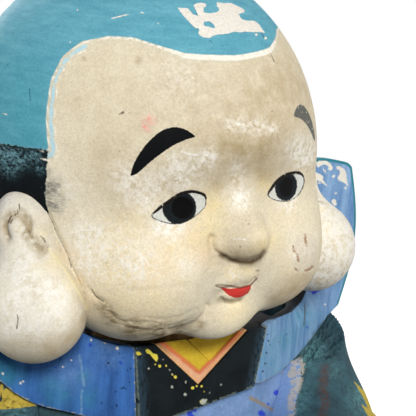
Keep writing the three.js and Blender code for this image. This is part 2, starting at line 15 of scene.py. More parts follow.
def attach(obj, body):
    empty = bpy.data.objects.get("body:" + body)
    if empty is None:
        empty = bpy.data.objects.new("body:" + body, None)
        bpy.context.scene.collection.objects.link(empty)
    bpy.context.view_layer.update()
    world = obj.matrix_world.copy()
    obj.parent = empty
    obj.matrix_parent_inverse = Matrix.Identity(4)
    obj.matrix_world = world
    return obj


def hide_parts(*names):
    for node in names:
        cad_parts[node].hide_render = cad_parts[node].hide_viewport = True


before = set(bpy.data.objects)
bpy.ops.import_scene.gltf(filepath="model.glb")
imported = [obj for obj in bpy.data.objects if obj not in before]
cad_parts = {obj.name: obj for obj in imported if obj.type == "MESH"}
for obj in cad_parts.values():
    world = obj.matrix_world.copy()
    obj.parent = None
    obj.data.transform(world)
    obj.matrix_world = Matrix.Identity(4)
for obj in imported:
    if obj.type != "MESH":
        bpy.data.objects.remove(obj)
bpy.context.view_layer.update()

LOG = logging.getLogger("nodding_figure")
MM = 0.001

# Sizes in millimetres: where the halves meet, the table, the gap of pieces that touch, and out of reach
SEAM_Y = 2.0
TABLE_TOP = 0.0
SEAT_GAP = 0.3
FAR = 99.0

# How squarely a place must look at the camera for the photograph to show it
GRAZING = 0.05

# How a ball is drawn in on a form: its first radius, the rounds and the share of the way in each round
WRAP_REACH = 320.0
WRAP_ROUNDS = 90
WRAP_STRIDE = 0.7

# From which angle an edge counts as sharp, and from how many corners a face is a cut's flat cover
SHARP_ANGLE = 0.9
CUT_CORNERS = 12

# Where most of a noise's values lie, and how sharp a flake's edge is in them
NOISE_SPAN = (0.3, 0.7)
FLAKE_EDGE = 0.012

BMesh = bmesh.types.BMesh
Points = np.ndarray
Masks = dict[str, Points]
Pair = tuple[float, float]
Place = tuple[float, float, float]
Bar = tuple[Place, Place, float, float]
Form = Callable[[Points], Points]
Marks = Callable[[Points, Points], Masks]
Path = Sequence[Pair]
Rounds = Sequence[Place]
Zone = tuple[float, float, float, float]
Dabs = Sequence[Zone]
Finishes = dict[str, Material]


class Body(Enum):
    """The two bodies of the figure that the hinge in the neck joins."""

    TORSO = "body"
    HEAD = "head"


class Side(Enum):
    """The figure's own left and right, as the sign of X."""

    LEFT = 1
    RIGHT = -1


# Forms: distances in millimetres, negative inside


def beside(*columns: Points) -> Points:
    """Columns of numbers side by side, one row for each point."""
    return np.stack(columns, axis=-1)


def ramp(value: Points, start: float, end: float) -> Points:
    """A smooth step from 0 at start to 1 at end."""
    t = np.clip((value - start) / (end - start), 0.0, 1.0)
    return t * t * (3.0 - 2.0 * t)


def glow(distance: Points, width: float) -> Points:
    """A soft bump that is 1 on a line and fades over that width."""
    return np.exp(-(distance / width) ** 2)


def ellipsoid(p: Points, centre: Place, radii: Place) -> Points:
    """Distance to an ellipsoid.

    Args:
        p: Points, one row each.
        centre: Its middle.
        radii: Its three half axes.

    Returns:
        One distance for each point.
    """
    size = np.array(radii, float)
    q = (p - np.array(centre, float)) / size
    level = np.linalg.norm(q, axis=-1)
    slope = np.linalg.norm(q / size, axis=-1)
    return np.where(slope > 1e-6, level * (level - 1.0) / np.maximum(slope, 1e-6), -size.min())


def capsule(p: Points, start: Place, end: Place, r0: float, r1: float) -> Points:
    """Distance to a bar with round ends.

    Args:
        p: Points, one row each.
        start: Middle of the first end.
        end: Middle of the other end.
        r0: Radius at the first end.
        r1: Radius at the other end.

    Returns:
        One distance for each point.
    """
    a = np.array(start, float)
    along = np.array(end, float) - a
    t = np.clip(((p - a) @ along) / (along @ along), 0.0, 1.0)
    return np.linalg.norm(p - a - t[..., None] * along, axis=-1) - (r0 + (r1 - r0) * t)


def rounded_box(p: Points, low: Place, high: Place, radius: float) -> Points:
    """Distance to an upright box with rounded edges.

    Args:
        p: Points, one row each.
        low: Its lowest corner.
        high: Its highest corner.
        radius: The radius of its edges.

    Returns:
        One distance for each point.
    """
    a, b = np.array(low), np.array(high)
    q = np.abs(p - (a + b) / 2) - ((b - a) / 2 - radius)
    return np.linalg.norm(np.maximum(q, 0.0), axis=-1) + np.minimum(q.max(axis=-1), 0.0) - radius


def join(a: Points, b: Points, width: float | Points) -> Points:
    """The union of two forms, with a fillet of that width."""
    share = np.maximum(width - np.abs(a - b), 0.0) / width
    return np.minimum(a, b) - share * share * width / 4.0


def carve(a: Points, b: Points, width: float) -> Points:
    """The first form with the second taken out of it, with a fillet of that width."""
    return -join(-a, b, width)


def mirrored(p: Points) -> Points:
    """The points with the figure's right half laid on its left half."""
    return np.concatenate([np.abs(p[..., :1]), p[..., 1:]], axis=-1)


@dataclass(frozen=True)
class Lump:
    """A swelling or a hollow: an ellipsoid, and the fillet where it meets the rest. Pairs lie on the left."""

    centre: Place
    radii: Place
    fillet: float = 0.0

    def alone(self, p: Points) -> Points:
        """Distance to it by itself."""
        return ellipsoid(p, self.centre, self.radii)

    def added(self, form: Points, p: Points) -> Points:
        """A form with the swelling on it."""
        return join(form, self.alone(p), self.fillet)

    def carved(self, form: Points, p: Points) -> Points:
        """A form with the hollow in it."""
        return carve(form, self.alone(p), self.fillet)


def curve(points: Path, t: Points) -> Points:
    """Points on a smooth curve through the given ones.

    Args:
        points: The points it passes through.
        t: Places on it from 0 to 1.

    Returns:
        One point for each place.
    """
    knots = np.array(points, float)
    last = len(knots) - 1
    spot = np.clip(t, 0.0, 1.0) * last
    index = np.minimum(spot.astype(int), last - 1)
    w = (spot - index)[..., None]
    p0, p1 = knots[np.maximum(index - 1, 0)], knots[index]
    p2, p3 = knots[index + 1], knots[np.minimum(index + 2, last)]
    v0, v1 = (p2 - p0) / 2.0, (p3 - p1) / 2.0
    return ((2 * p1 - 2 * p2 + v0 + v1) * w + (-3 * p1 + 3 * p2 - 2 * v0 - v1)) * w * w + v0 * w + p1


def to_path(flat: Points, path: Path | Points) -> Points:
    """Distance from each flat point to an open path.

    Args:
        flat: Flat points, one row each.
        path: Corners of the path.

    Returns:
        One distance for each point.
    """
    knots = np.array(path, float)
    nearest = np.full(len(flat), 1e9)
    for a, b in zip(knots[:-1], knots[1:]):
        along = b - a
        t = np.clip(((flat - a) @ along) / max(along @ along, 1e-9), 0.0, 1.0)
        nearest = np.minimum(nearest, np.hypot(*(flat - a - t[:, None] * along).T))
    return nearest


def within(flat: Points, path: Path, smooth: bool = True) -> Points:
    """Signed distance to a closed outline.

    Args:
        flat: Flat points, one row each.
        path: Corners of the outline.
        smooth: Whether the outline runs through its corners in a curve.

    Returns:
        One distance for each point, negative inside.
    """
    loop = np.array([*path, path[0]], float)
    if smooth:
        ring = [path[-1], *path, path[0], path[1]]
        steps = np.linspace(1, len(path) + 1, 5 * len(path) + 1) / (len(ring) - 1)
        loop = curve(ring, steps)
    crossings = np.zeros(len(flat), int)
    for (ax, ay), (bx, by) in zip(loop[:-1], loop[1:]):
        spans = (ay > flat[:, 1]) != (by > flat[:, 1])
        if ay != by:
            crossings += spans & (flat[:, 0] < ax + (flat[:, 1] - ay) * (bx - ax) / (by - ay))
    return np.where(crossings % 2 == 1, -1.0, 1.0) * to_path(flat, loop)


def spots(flat: Points, rounds: Rounds) -> Points:
    """Signed distance to the nearest of some round spots, each a middle and a radius."""
    return np.min([np.hypot(flat[:, 0] - u, flat[:, 1] - v) - radius for u, v, radius in rounds], axis=0)


def inside(flat: Points, zone: Zone) -> Points:
    """Which flat points lie in an upright rectangle: left, right, top and bottom.

    Args:
        flat: Flat points, one row each.
        zone: The four sides.

    Returns:
        True for each point inside.
    """
    left, right, top, bottom = zone
    u, v = flat.T
    return (u > left) & (u < right) & (v > top) & (v < bottom)


def above(flat: Points, line: Place) -> Points:
    """How far above a slanting line flat points lie, from one place on it and its slope."""
    u, v, slope = line
    return v - slope * (flat[:, 0] - u) - flat[:, 1]


def strokes(flat: Points, paths: Sequence[Path]) -> Points:
    """Distance to the nearest of some open paths."""
    return np.min([to_path(flat, path) for path in paths], axis=0)


def patches(flat: Points, outlines: Sequence[Path]) -> Points:
    """Signed distance to the nearest of some closed outlines with sharp corners."""
    return np.min([within(flat, outline, smooth=False) for outline in outlines], axis=0)


def dabbed(flat: Points, dabs: Dabs) -> Points:
    """How strongly soft round dabs, each a middle, a radius and a strength, colour each place.

    Args:
        flat: Flat points, one row each.
        dabs: The dabs.

    Returns:
        One strength for each point.
    """
    bare = np.ones(len(flat))
    for u, v, radius, strength in dabs:
        bare *= 1.0 - strength * glow(np.hypot(flat[:, 0] - u, flat[:, 1] - v), radius)
    return 1.0 - bare


# Where things are: the photograph's camera and the leaning head


@dataclass(frozen=True)
class PhotoView:
    """The camera of the photograph, and where it shows a point. Marks are read at 1568 pixels a side."""

    eye: Place = (-330.14, -463.65, 331.69)
    right: Place = (0.78901, -0.60876, 0.08293)
    up: Place = (0.03969, 0.18520, 0.98190)
    ahead: Place = (0.61310, 0.77143, -0.17029)
    side: float = 1568.0
    lens: float = 90.0
    sensor: float = 36.0
    pixel: float = 0.138

    def pixels(self, p: Points) -> Points:
        """Where the photograph shows points that are given in millimetres.

        Args:
            p: Points, one row each.

        Returns:
            One place in pixels for each point.
        """
        offset = p - np.array(self.eye)
        depth = offset @ np.array(self.ahead)
        focal = self.side * self.lens / self.sensor
        across = self.side / 2 + focal * (offset @ np.array(self.right)) / depth
        down = self.side / 2 - focal * (offset @ np.array(self.up)) / depth
        return beside(across, down)

    def faces(self, p: Points, normal: Points) -> Points:
        """How squarely each point looks at the camera, from -1 to 1."""
        toward = np.array(self.eye) - p
        return np.sum(normal * toward, axis=-1) / np.linalg.norm(toward, axis=-1)

    def add_camera(self) -> None:
        """Sets the scene's camera to this view."""
        data = bpy.data.cameras.new("photo_camera")
        data.lens = self.lens
        data.sensor_width = self.sensor
        data.clip_start = 0.01
        camera = bpy.data.objects.new("photo_camera", data)
        axes = Matrix((self.right, self.up, [-value for value in self.ahead])).transposed()
        camera.matrix_world = Matrix.Translation(Vector(self.eye) * MM) @ axes.to_4x4()
        bpy.context.scene.collection.objects.link(camera)
        bpy.context.scene.camera = camera


def turned(a: Points, b: Points, angle: float) -> tuple[Points, Points]:
    """Two coordinates turned by an angle, from the first toward the second."""
    c, s = math.cos(angle), math.sin(angle)
    return c * a - s * b, s * a + c * b


@dataclass(frozen=True)
class HeadFrame:
    """The head's own axes, measured from the eye line and leaning to the figure's right."""

    eye_level: float = 255.0
    pivot_y: float = -11.7
    pivot_z: float = 142.0
    lean: float = math.radians(6.0)
    nods: tuple[float, ...] = (math.radians(-6.0), 0.0, math.radians(3.0))

    def to_part(self, p: Points) -> Points:
        """Points of the head in the figure's frame."""
        x, z = turned(p[..., 0], p[..., 2] + self.eye_level - self.pivot_z, self.lean)
        return beside(x, p[..., 1], z + self.pivot_z)

    def to_head(self, p: Points) -> Points:
        """Points of the figure in the head's frame."""
        x, z = turned(p[..., 0], p[..., 2] - self.pivot_z, -self.lean)
        return beside(x, p[..., 1], z + self.pivot_z - self.eye_level)

    def turn(self, p: Points, nod: float) -> Points:
        """Points of the figure as the head sees them once it has nodded by that angle."""
        y, z = turned(p[..., 1] - self.pivot_y, p[..., 2] - self.pivot_z, -nod)
        return beside(p[..., 0], y + self.pivot_y, z + self.pivot_z)


VIEW = PhotoView()
LEAN = HeadFrame()


def kept_to(chosen: Points, mask: Points) -> Points:
    """A mask read off the photograph in pixels, kept to the chosen points, in millimetres."""
    return np.where(chosen, VIEW.pixel * mask, FAR)


def facing_only(facing: Points, **masks: Points) -> Masks:
    """Masks read off the photograph, kept to what faces its camera."""
    return {name: kept_to(facing > GRAZING, mask) for name, mask in masks.items()}


# Mesh helpers


def coords(bm: BMesh) -> Points:
    """The places of a mesh's vertices."""
    return np.array([vert.co for vert in bm.verts], float)


def move_all(bm: BMesh, places: Points) -> None:
    """Puts every vertex of a mesh in its new place."""
    for vert, place in zip(bm.verts, places):
        vert.co = place


def slope_of(form: Form, p: Points, step: float = 0.05) -> Points:
    """Unit normals of a form at the given points.

    Args:
        form: The form.
        p: Points, one row each.
        step: How far to either side it is felt.

    Returns:
        One normal for each point.
    """
    axes = [form(p + step * axis) - form(p - step * axis) for axis in np.eye(3)]
    normal = np.stack(axes, axis=-1)
    return normal / np.maximum(np.linalg.norm(normal, axis=-1, keepdims=True), 1e-9)


def settle(form: Form, p: Points, rounds: int = 4) -> Points:
    """Points moved the short way onto a form's surface.

    Args:
        form: The form.
        p: Points, one row each.
        rounds: How many moves are made.

    Returns:
        The moved points.
    """
    for _ in range(rounds):
        p = p - (0.9 * form(p))[..., None] * slope_of(form, p)
    return p


def wrap(form: Form, centre: Sequence[float], level: int, focus: float = 1.0) -> BMesh:
    """A ball drawn in from outside until it lies on a form.

    Args:
        form: The form.
        centre: A point inside it, from which every part of it can be seen.
        level: How finely the ball is divided.
        focus: Over 1, crowds the ball's vertices toward the front.

    Returns:
        The closed mesh, in millimetres.
    """
    bm = bmesh.new()
    bmesh.ops.create_icosphere(bm, subdivisions=level, radius=1.0)
    rays = coords(bm)
    rays /= np.linalg.norm(rays, axis=1, keepdims=True)
    if focus != 1.0:
        polar = np.arccos(np.clip(-rays[:, 1], -1.0, 1.0)) / math.pi
        drawn_in = math.pi * polar ** focus
        spread = np.sin(drawn_in) / np.maximum(np.hypot(rays[:, 0], rays[:, 2]), 1e-9)
        rays = beside(rays[:, 0] * spread, -np.cos(drawn_in), rays[:, 2] * spread)
    reach = np.full(len(rays), WRAP_REACH)
    middle = np.array(centre, float)
    for _ in range(WRAP_ROUNDS):
        reach -= WRAP_STRIDE * form(middle + rays * reach[:, None])
    move_all(bm, middle + rays * reach[:, None])
    return bm


def cut(bm: BMesh, place: Place, keep: Place) -> None:
    """Cuts a closed mesh along a plane, keeps the side that keep points to and closes the cut.

    Args:
        bm: The mesh.
        place: A point on the plane.
        keep: The plane's normal, toward the kept side.
    """
    away = [-value for value in keep]
    geometry = [*bm.verts, *bm.edges, *bm.faces]
    bmesh.ops.bisect_plane(bm, geom=geometry, dist=1e-4, plane_co=place, plane_no=away, clear_outer=True)
    rim = [edge for edge in bm.edges if edge.is_boundary]
    filled = bmesh.ops.holes_fill(bm, edges=rim, sides=0)
    for face in filled["faces"]:
        face.smooth = False
    for edge in rim:
        edge.smooth = False


def refine(bm: BMesh, form: Form, zone: Form) -> None:
    """Halves the edges inside a zone and lays their new vertices on the form.

    Args:
        bm: The mesh.
        form: The form.
        zone: Tells which points lie in the zone.
    """
    chosen = zone(coords(bm))
    bm.verts.index_update()
    edges = [edge for edge in bm.edges if all(chosen[vert.index] for vert in edge.verts)]
    count = len(bm.verts)
    bmesh.ops.subdivide_edges(bm, edges=edges, cuts=1, use_grid_fill=True)
    bm.verts.ensure_lookup_table()
    fresh = bm.verts[count:]
    for vert, place in zip(fresh, settle(form, np.array([vert.co for vert in fresh], float))):
        vert.co = place


def sheet(columns: int, rows: int, place: Callable[[Points, Points], Points], back: float) -> BMesh:
    """A stiff sheet with rounded edges.

    Args:
        columns: Steps across it.
        rows: Steps up it.
        place: Gives the front's points from their shares across and up.
        back: Its thickness along Y.

    Returns:
        The closed mesh, in millimetres.
    """
    bm = bmesh.new()
    bmesh.ops.create_grid(bm, x_segments=columns, y_segments=rows, size=0.5)
    flat = coords(bm) + 0.5
    move_all(bm, place(flat[:, 0], flat[:, 1]))
    grown = bmesh.ops.extrude_face_region(bm, geom=list(bm.faces))
    moved = [item for item in grown["geom"] if isinstance(item, bmesh.types.BMVert)]
    bmesh.ops.translate(bm, verts=moved, vec=(0.0, back, 0.0))
    bmesh.ops.recalc_face_normals(bm, faces=bm.faces)
    return bm


def round_edges(bm: BMesh, width: float, segments: int = 2) -> None:
    """Rounds the sharp edges of a mesh, as wear does.

    Args:
        bm: The mesh.
        width: How wide the rounding is.
        segments: How many faces it has across.
    """
    sharp = [edge for edge in bm.edges if len(edge.link_faces) == 2 and edge.calc_face_angle() > SHARP_ANGLE]
    bmesh.ops.bevel(
        bm, geom=sharp, offset=width, offset_type="OFFSET", segments=segments, profile=0.5,
        affect="EDGES", material=-1, clamp_overlap=True,
    )


def put_on(bm: BMesh, side: Side) -> None:
    """Moves a mesh that was shaped on the figure's left to one of its sides."""
    bmesh.ops.scale(bm, verts=bm.verts, vec=(side.value, 1, 1))
    bmesh.ops.recalc_face_normals(bm, faces=bm.faces)


def make_piece(
    bm: BMesh, name: str, body: Body, slot: str, node: str, finish: Material,
    marks: Marks | None = None, settle_in: Form | None = None,
) -> Object:
    """Turns a mesh in millimetres into a piece of the figure.

    Args:
        bm: The mesh, which is used up.
        name: The piece's name.
        body: The body that it rides on.
        slot: The record's material slot that it belongs to. Not used.
        node: The solid that it stands for.
        finish: Its material.
        marks: Gives the masks of its paint from its points and normals.
        settle_in: Takes its points into the figure's frame.

    Returns:
        The piece.
    """
    for face in bm.faces:
        face.smooth = face.smooth or len(face.verts) < CUT_CORNERS
    mesh = bpy.data.meshes.new(name)
    bm.to_mesh(mesh)
    bm.free()
    flat = np.empty(3 * len(mesh.vertices))
    mesh.vertices.foreach_get("co", flat)
    points = flat.reshape(-1, 3)
    if marks:
        normals = np.empty(3 * len(mesh.vertices))
        mesh.vertices.foreach_get("normal", normals)
        for mask, values in marks(points, normals.reshape(-1, 3)).items():
            layer = mesh.attributes.new(mask, "FLOAT", "POINT")
            layer.data.foreach_set("value", np.ascontiguousarray(values, np.float32))
    if settle_in:
        points = settle_in(points)
    mesh.vertices.foreach_set("co", np.ascontiguousarray(points * MM, np.float32).ravel())
    mesh.update()
    mesh.materials.append(finish)
    piece = bpy.data.objects.new(name, mesh)
    bpy.context.scene.collection.objects.link(piece)
    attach(piece, body.value)
    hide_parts(node)
    return piece


def new_object(bm: BMesh, name: str) -> Object:
    """An object in the scene from a mesh that is used up: the floor, or a passing tool for cutting.

    Args:
        bm: The mesh.
        name: The object's name.

    Returns:
        The object.
    """
    mesh = bpy.data.meshes.new(name)
    bm.to_mesh(mesh)
    bm.free()
    made = bpy.data.objects.new(name, mesh)
    bpy.context.scene.collection.objects.link(made)
    return made


def hollow_out(bm: BMesh, tool: Object) -> BMesh:
    """A mesh with a tool's solid taken out of it, so that what moves there has its room.

    Args:
        bm: The mesh, which is used up.
        tool: The solid to take out.

    Returns:
        The mesh that is left.
    """
    blank = new_object(bm, "before_cut")
    mesh = blank.data
    boolean = blank.modifiers.new("room", "BOOLEAN")
    boolean.operation = "DIFFERENCE"
    boolean.solver = "EXACT"
    boolean.object = tool
    result = bmesh.new()
    result.from_object(blank, bpy.context.evaluated_depsgraph_get())
    bpy.data.objects.remove(blank)
    bpy.data.meshes.remove(mesh)
    return result


# Finishes


def linear(hex_colour: str) -> tuple[float, float, float, float]:
    """A linear colour from an sRGB hex value.

    Args:
        hex_colour: The sRGB value.

    Returns:
        Red, green, blue and alpha.
    """
    parts = [int(hex_colour[i:i + 2], 16) / 255.0 for i in (1, 3, 5)]
    red, green, blue = (c / 12.92 if c <= 0.04045 else ((c + 0.055) / 1.055) ** 2.4 for c in parts)
    return (red, green, blue, 1.0)


def add_node(
    tree: NodeTree, kind: str, inputs: dict | None = None, out: int = 0, **settings: object,
) -> NodeSocket:
    """Adds a node with its settings and links.

    Args:
        tree: The node tree.
        kind: The node's type, without the word that all of them begin with.
        inputs: Values or sockets for its inputs, by name or place.
        out: Which output to return.
        settings: Properties of the node.

    Returns:
        The chosen output socket.
    """
    node = tree.nodes.new(f"ShaderNode{kind}")
    for key, value in settings.items():
        setattr(node, key, value)
    for key, value in (inputs or {}).items():
        if isinstance(value, NodeSocket):
            tree.links.new(value, node.inputs[key])
        else:
            node.inputs[key].default_value = value
    return node.outputs[out] if node.outputs else None


def new_tree(name: str) -> tuple[Material, NodeTree]:
    """An empty material and its node tree.

    Args:
        name: The material's name.

    Returns:
        The material and its tree.
    """
    material = bpy.data.materials.new(name)
    material.use_nodes = True
    material.node_tree.nodes.clear()
    return material, material.node_tree


@dataclass(frozen=True)
class Coat:
    """A coat of paint over those before it, whose mask is the distance to its edge, in millimetres."""

    mask: str
    colour: str
    shade: str = ""
    ragged: float = 0.3
    grain: float = 3.0
    soft: float = 0.25
    cover: float = 1.0
    lost_above: float = 0.0
    flake: float = 4.0
    relief: float = 0.0
    pull: Place = (1.0, 1.0, 1.0)


class Wash(Coat):
    """A soft wash of paint, dirt, painted shade or painted light, whose mask is its strength from 0 to 1."""


@dataclass(frozen=True)
class PaintedPaper:
    """Brushed glue paint over layered paper: matt, mottled, lumpy and chipped where hands have worn it."""

    name: str
    ground: str
    mottle: str
    mottle_size: float = 14.0
    brush: Place = (1.0, 1.0, 1.0)
    speck: str = "#8d7b5c"
    speck_size: float = 1.2
    speck_above: float = 0.68
    speck_soft: float = 0.1
    speck_cover: float = 0.55
    mottle_span: Pair = (0.36, 0.66)
    coats: tuple[Coat, ...] = ()
    roughness: float = 0.62
    rough_span: Pair = (-0.08, 0.1)
    gloss: float = 0.06
    lumps: float = 0.5
    tooth: float = 0.3
    sand: float = 0.11

    def material(self) -> Material:
        """Builds the node tree, coat over coat.

        Returns:
            The material.
        """
        material, tree = new_tree(self.name)
        place = add_node(tree, "TexCoord", out=3)
        brushed = add_node(tree, "Mapping", {0: place, 3: self.brush})
        broad = add_node(tree, "TexNoise", {
            "Vector": brushed, "Scale": 1.0 / (self.mottle_size * MM), "Detail": 6.0, "Roughness": 0.66})
        fine = add_node(tree, "TexNoise", {
            "Vector": place, "Scale": 1.0 / (self.speck_size * MM), "Detail": 5.0, "Roughness": 0.75})
        share = add_node(tree, "MapRange", {0: broad, 1: self.mottle_span[0], 2: self.mottle_span[1]})
        colour = add_node(tree, "Mix", {0: share, 6: linear(self.ground), 7: linear(self.mottle)},
                          out=2, data_type="RGBA")
        dots = add_node(tree, "MapRange", {
            0: fine, 1: self.speck_above, 2: self.speck_above + self.speck_soft, 3: 0.0, 4: self.speck_cover})
        colour = add_node(tree, "Mix", {0: dots, 6: colour, 7: linear(self.speck)},
                          out=2, data_type="RGBA")
        height = add_node(tree, "Math", {0: broad, 1: self.lumps}, operation="MULTIPLY")
        height = add_node(tree, "Math", {0: fine, 1: self.tooth, 2: height},
                          operation="MULTIPLY_ADD")
        for coat in self.coats:
            mask = add_node(tree, "Attribute", out=2, attribute_name=coat.mask)
            pulled = add_node(tree, "Mapping", {0: place, 3: coat.pull})
            grain = add_node(tree, "TexNoise", {
                "Vector": pulled, "Scale": 1.0 / (coat.grain * MM), "Detail": 4.0, "Roughness": 0.6})
            if isinstance(coat, Wash):
                broken = add_node(tree, "Math", {
                    0: grain, 1: 4.0 * coat.ragged, 2: 1.0 - 2.0 * coat.ragged}, operation="MULTIPLY_ADD")
                edge = add_node(tree, "Math", {0: mask, 1: broken}, operation="MULTIPLY")
                limits = {1: 0.0, 2: 1.0, 3: 0.0, 4: coat.cover}
            else:
                edge = add_node(tree, "Math", {0: grain, 1: 2.0 * coat.ragged, 2: mask},
                                operation="MULTIPLY_ADD")
                limits = {1: coat.ragged - coat.soft, 2: coat.ragged + coat.soft, 3: coat.cover, 4: 0.0}
            laid = add_node(tree, "MapRange", {0: edge, **limits})
            if coat.lost_above:
                flakes = add_node(tree, "TexNoise", {
                    "Vector": place, "Scale": 1.0 / (coat.flake * MM), "Detail": 6.0, "Roughness": 0.62,
                    "Distortion": 0.4})
                kept = add_node(tree, "MapRange", {
                    0: flakes, 1: coat.lost_above - FLAKE_EDGE, 2: coat.lost_above + FLAKE_EDGE,
                    3: 1.0, 4: 0.0})
                laid = add_node(tree, "Math", {0: laid, 1: kept}, operation="MULTIPLY")
            tone = add_node(tree, "Mix", {
                0: grain, 6: linear(coat.colour), 7: linear(coat.shade or coat.colour)},
                out=2, data_type="RGBA")
            colour = add_node(tree, "Mix", {0: laid, 6: colour, 7: tone}, out=2, data_type="RGBA")
            if coat.relief:
                height = add_node(tree, "Math", {0: laid, 1: coat.relief, 2: height},
                                  operation="MULTIPLY_ADD")
        dust = add_node(tree, "MapRange", {
            0: fine, 1: NOISE_SPAN[0], 2: NOISE_SPAN[1], 3: 1.0 - self.sand, 4: 1.0 + self.sand})
        colour = add_node(tree, "VectorMath", {0: colour, 3: dust}, operation="SCALE")
        normal = add_node(tree, "Bump", {"Strength": 1.0, "Distance": MM, "Height": height})
        low, high = (self.roughness + step for step in self.rough_span)
        shine = add_node(tree, "MapRange", {
            0: broad, 1: NOISE_SPAN[0], 2: NOISE_SPAN[1], 3: low, 4: high})
        shader = add_node(tree, "BsdfPrincipled", {
            "Base Color": colour, "Roughness": shine, "Normal": normal, "IOR": 1.45,
            "Specular IOR Level": self.gloss})
        add_node(tree, "OutputMaterial", {0: shader})
        return material


@dataclass(frozen=True)
class Grained:
    """A bare material with one grain: softwood, cast iron, drawn steel or raw pasteboard."""

    name: str
    light: str
    dark: str
    stretch: Place
    grain: float
    roughness: float
    metallic: float = 0.0
    depth: float = 0.1
    grain_span: Pair = (0.35, 0.65)

    def material(self) -> Material:
        """Builds the node tree: one stretched noise gives the grain's colour and its depth.

        Returns:
            The material.
        """
        material, tree = new_tree(self.name)
        place = add_node(tree, "TexCoord", out=3)
        pulled = add_node(tree, "Mapping", {0: place, 3: self.stretch})
        noise = add_node(tree, "TexNoise", {
            "Vector": pulled, "Scale": 1.0 / (self.grain * MM), "Detail": 6.0, "Roughness": 0.6})
        share = add_node(tree, "MapRange", {0: noise, 1: self.grain_span[0], 2: self.grain_span[1]})
        colour = add_node(tree, "Mix", {0: share, 6: linear(self.light), 7: linear(self.dark)},
                          out=2, data_type="RGBA")
        height = add_node(tree, "Math", {0: noise, 1: self.depth}, operation="MULTIPLY")
        normal = add_node(tree, "Bump", {"Strength": 1.0, "Distance": MM, "Height": height})
        shader = add_node(tree, "BsdfPrincipled", {
            "Base Color": colour, "Roughness": self.roughness, "Metallic": self.metallic, "Normal": normal})
        add_node(tree, "OutputMaterial", {0: shader})
        return material


# The head: face and crown shells, ears and topknot


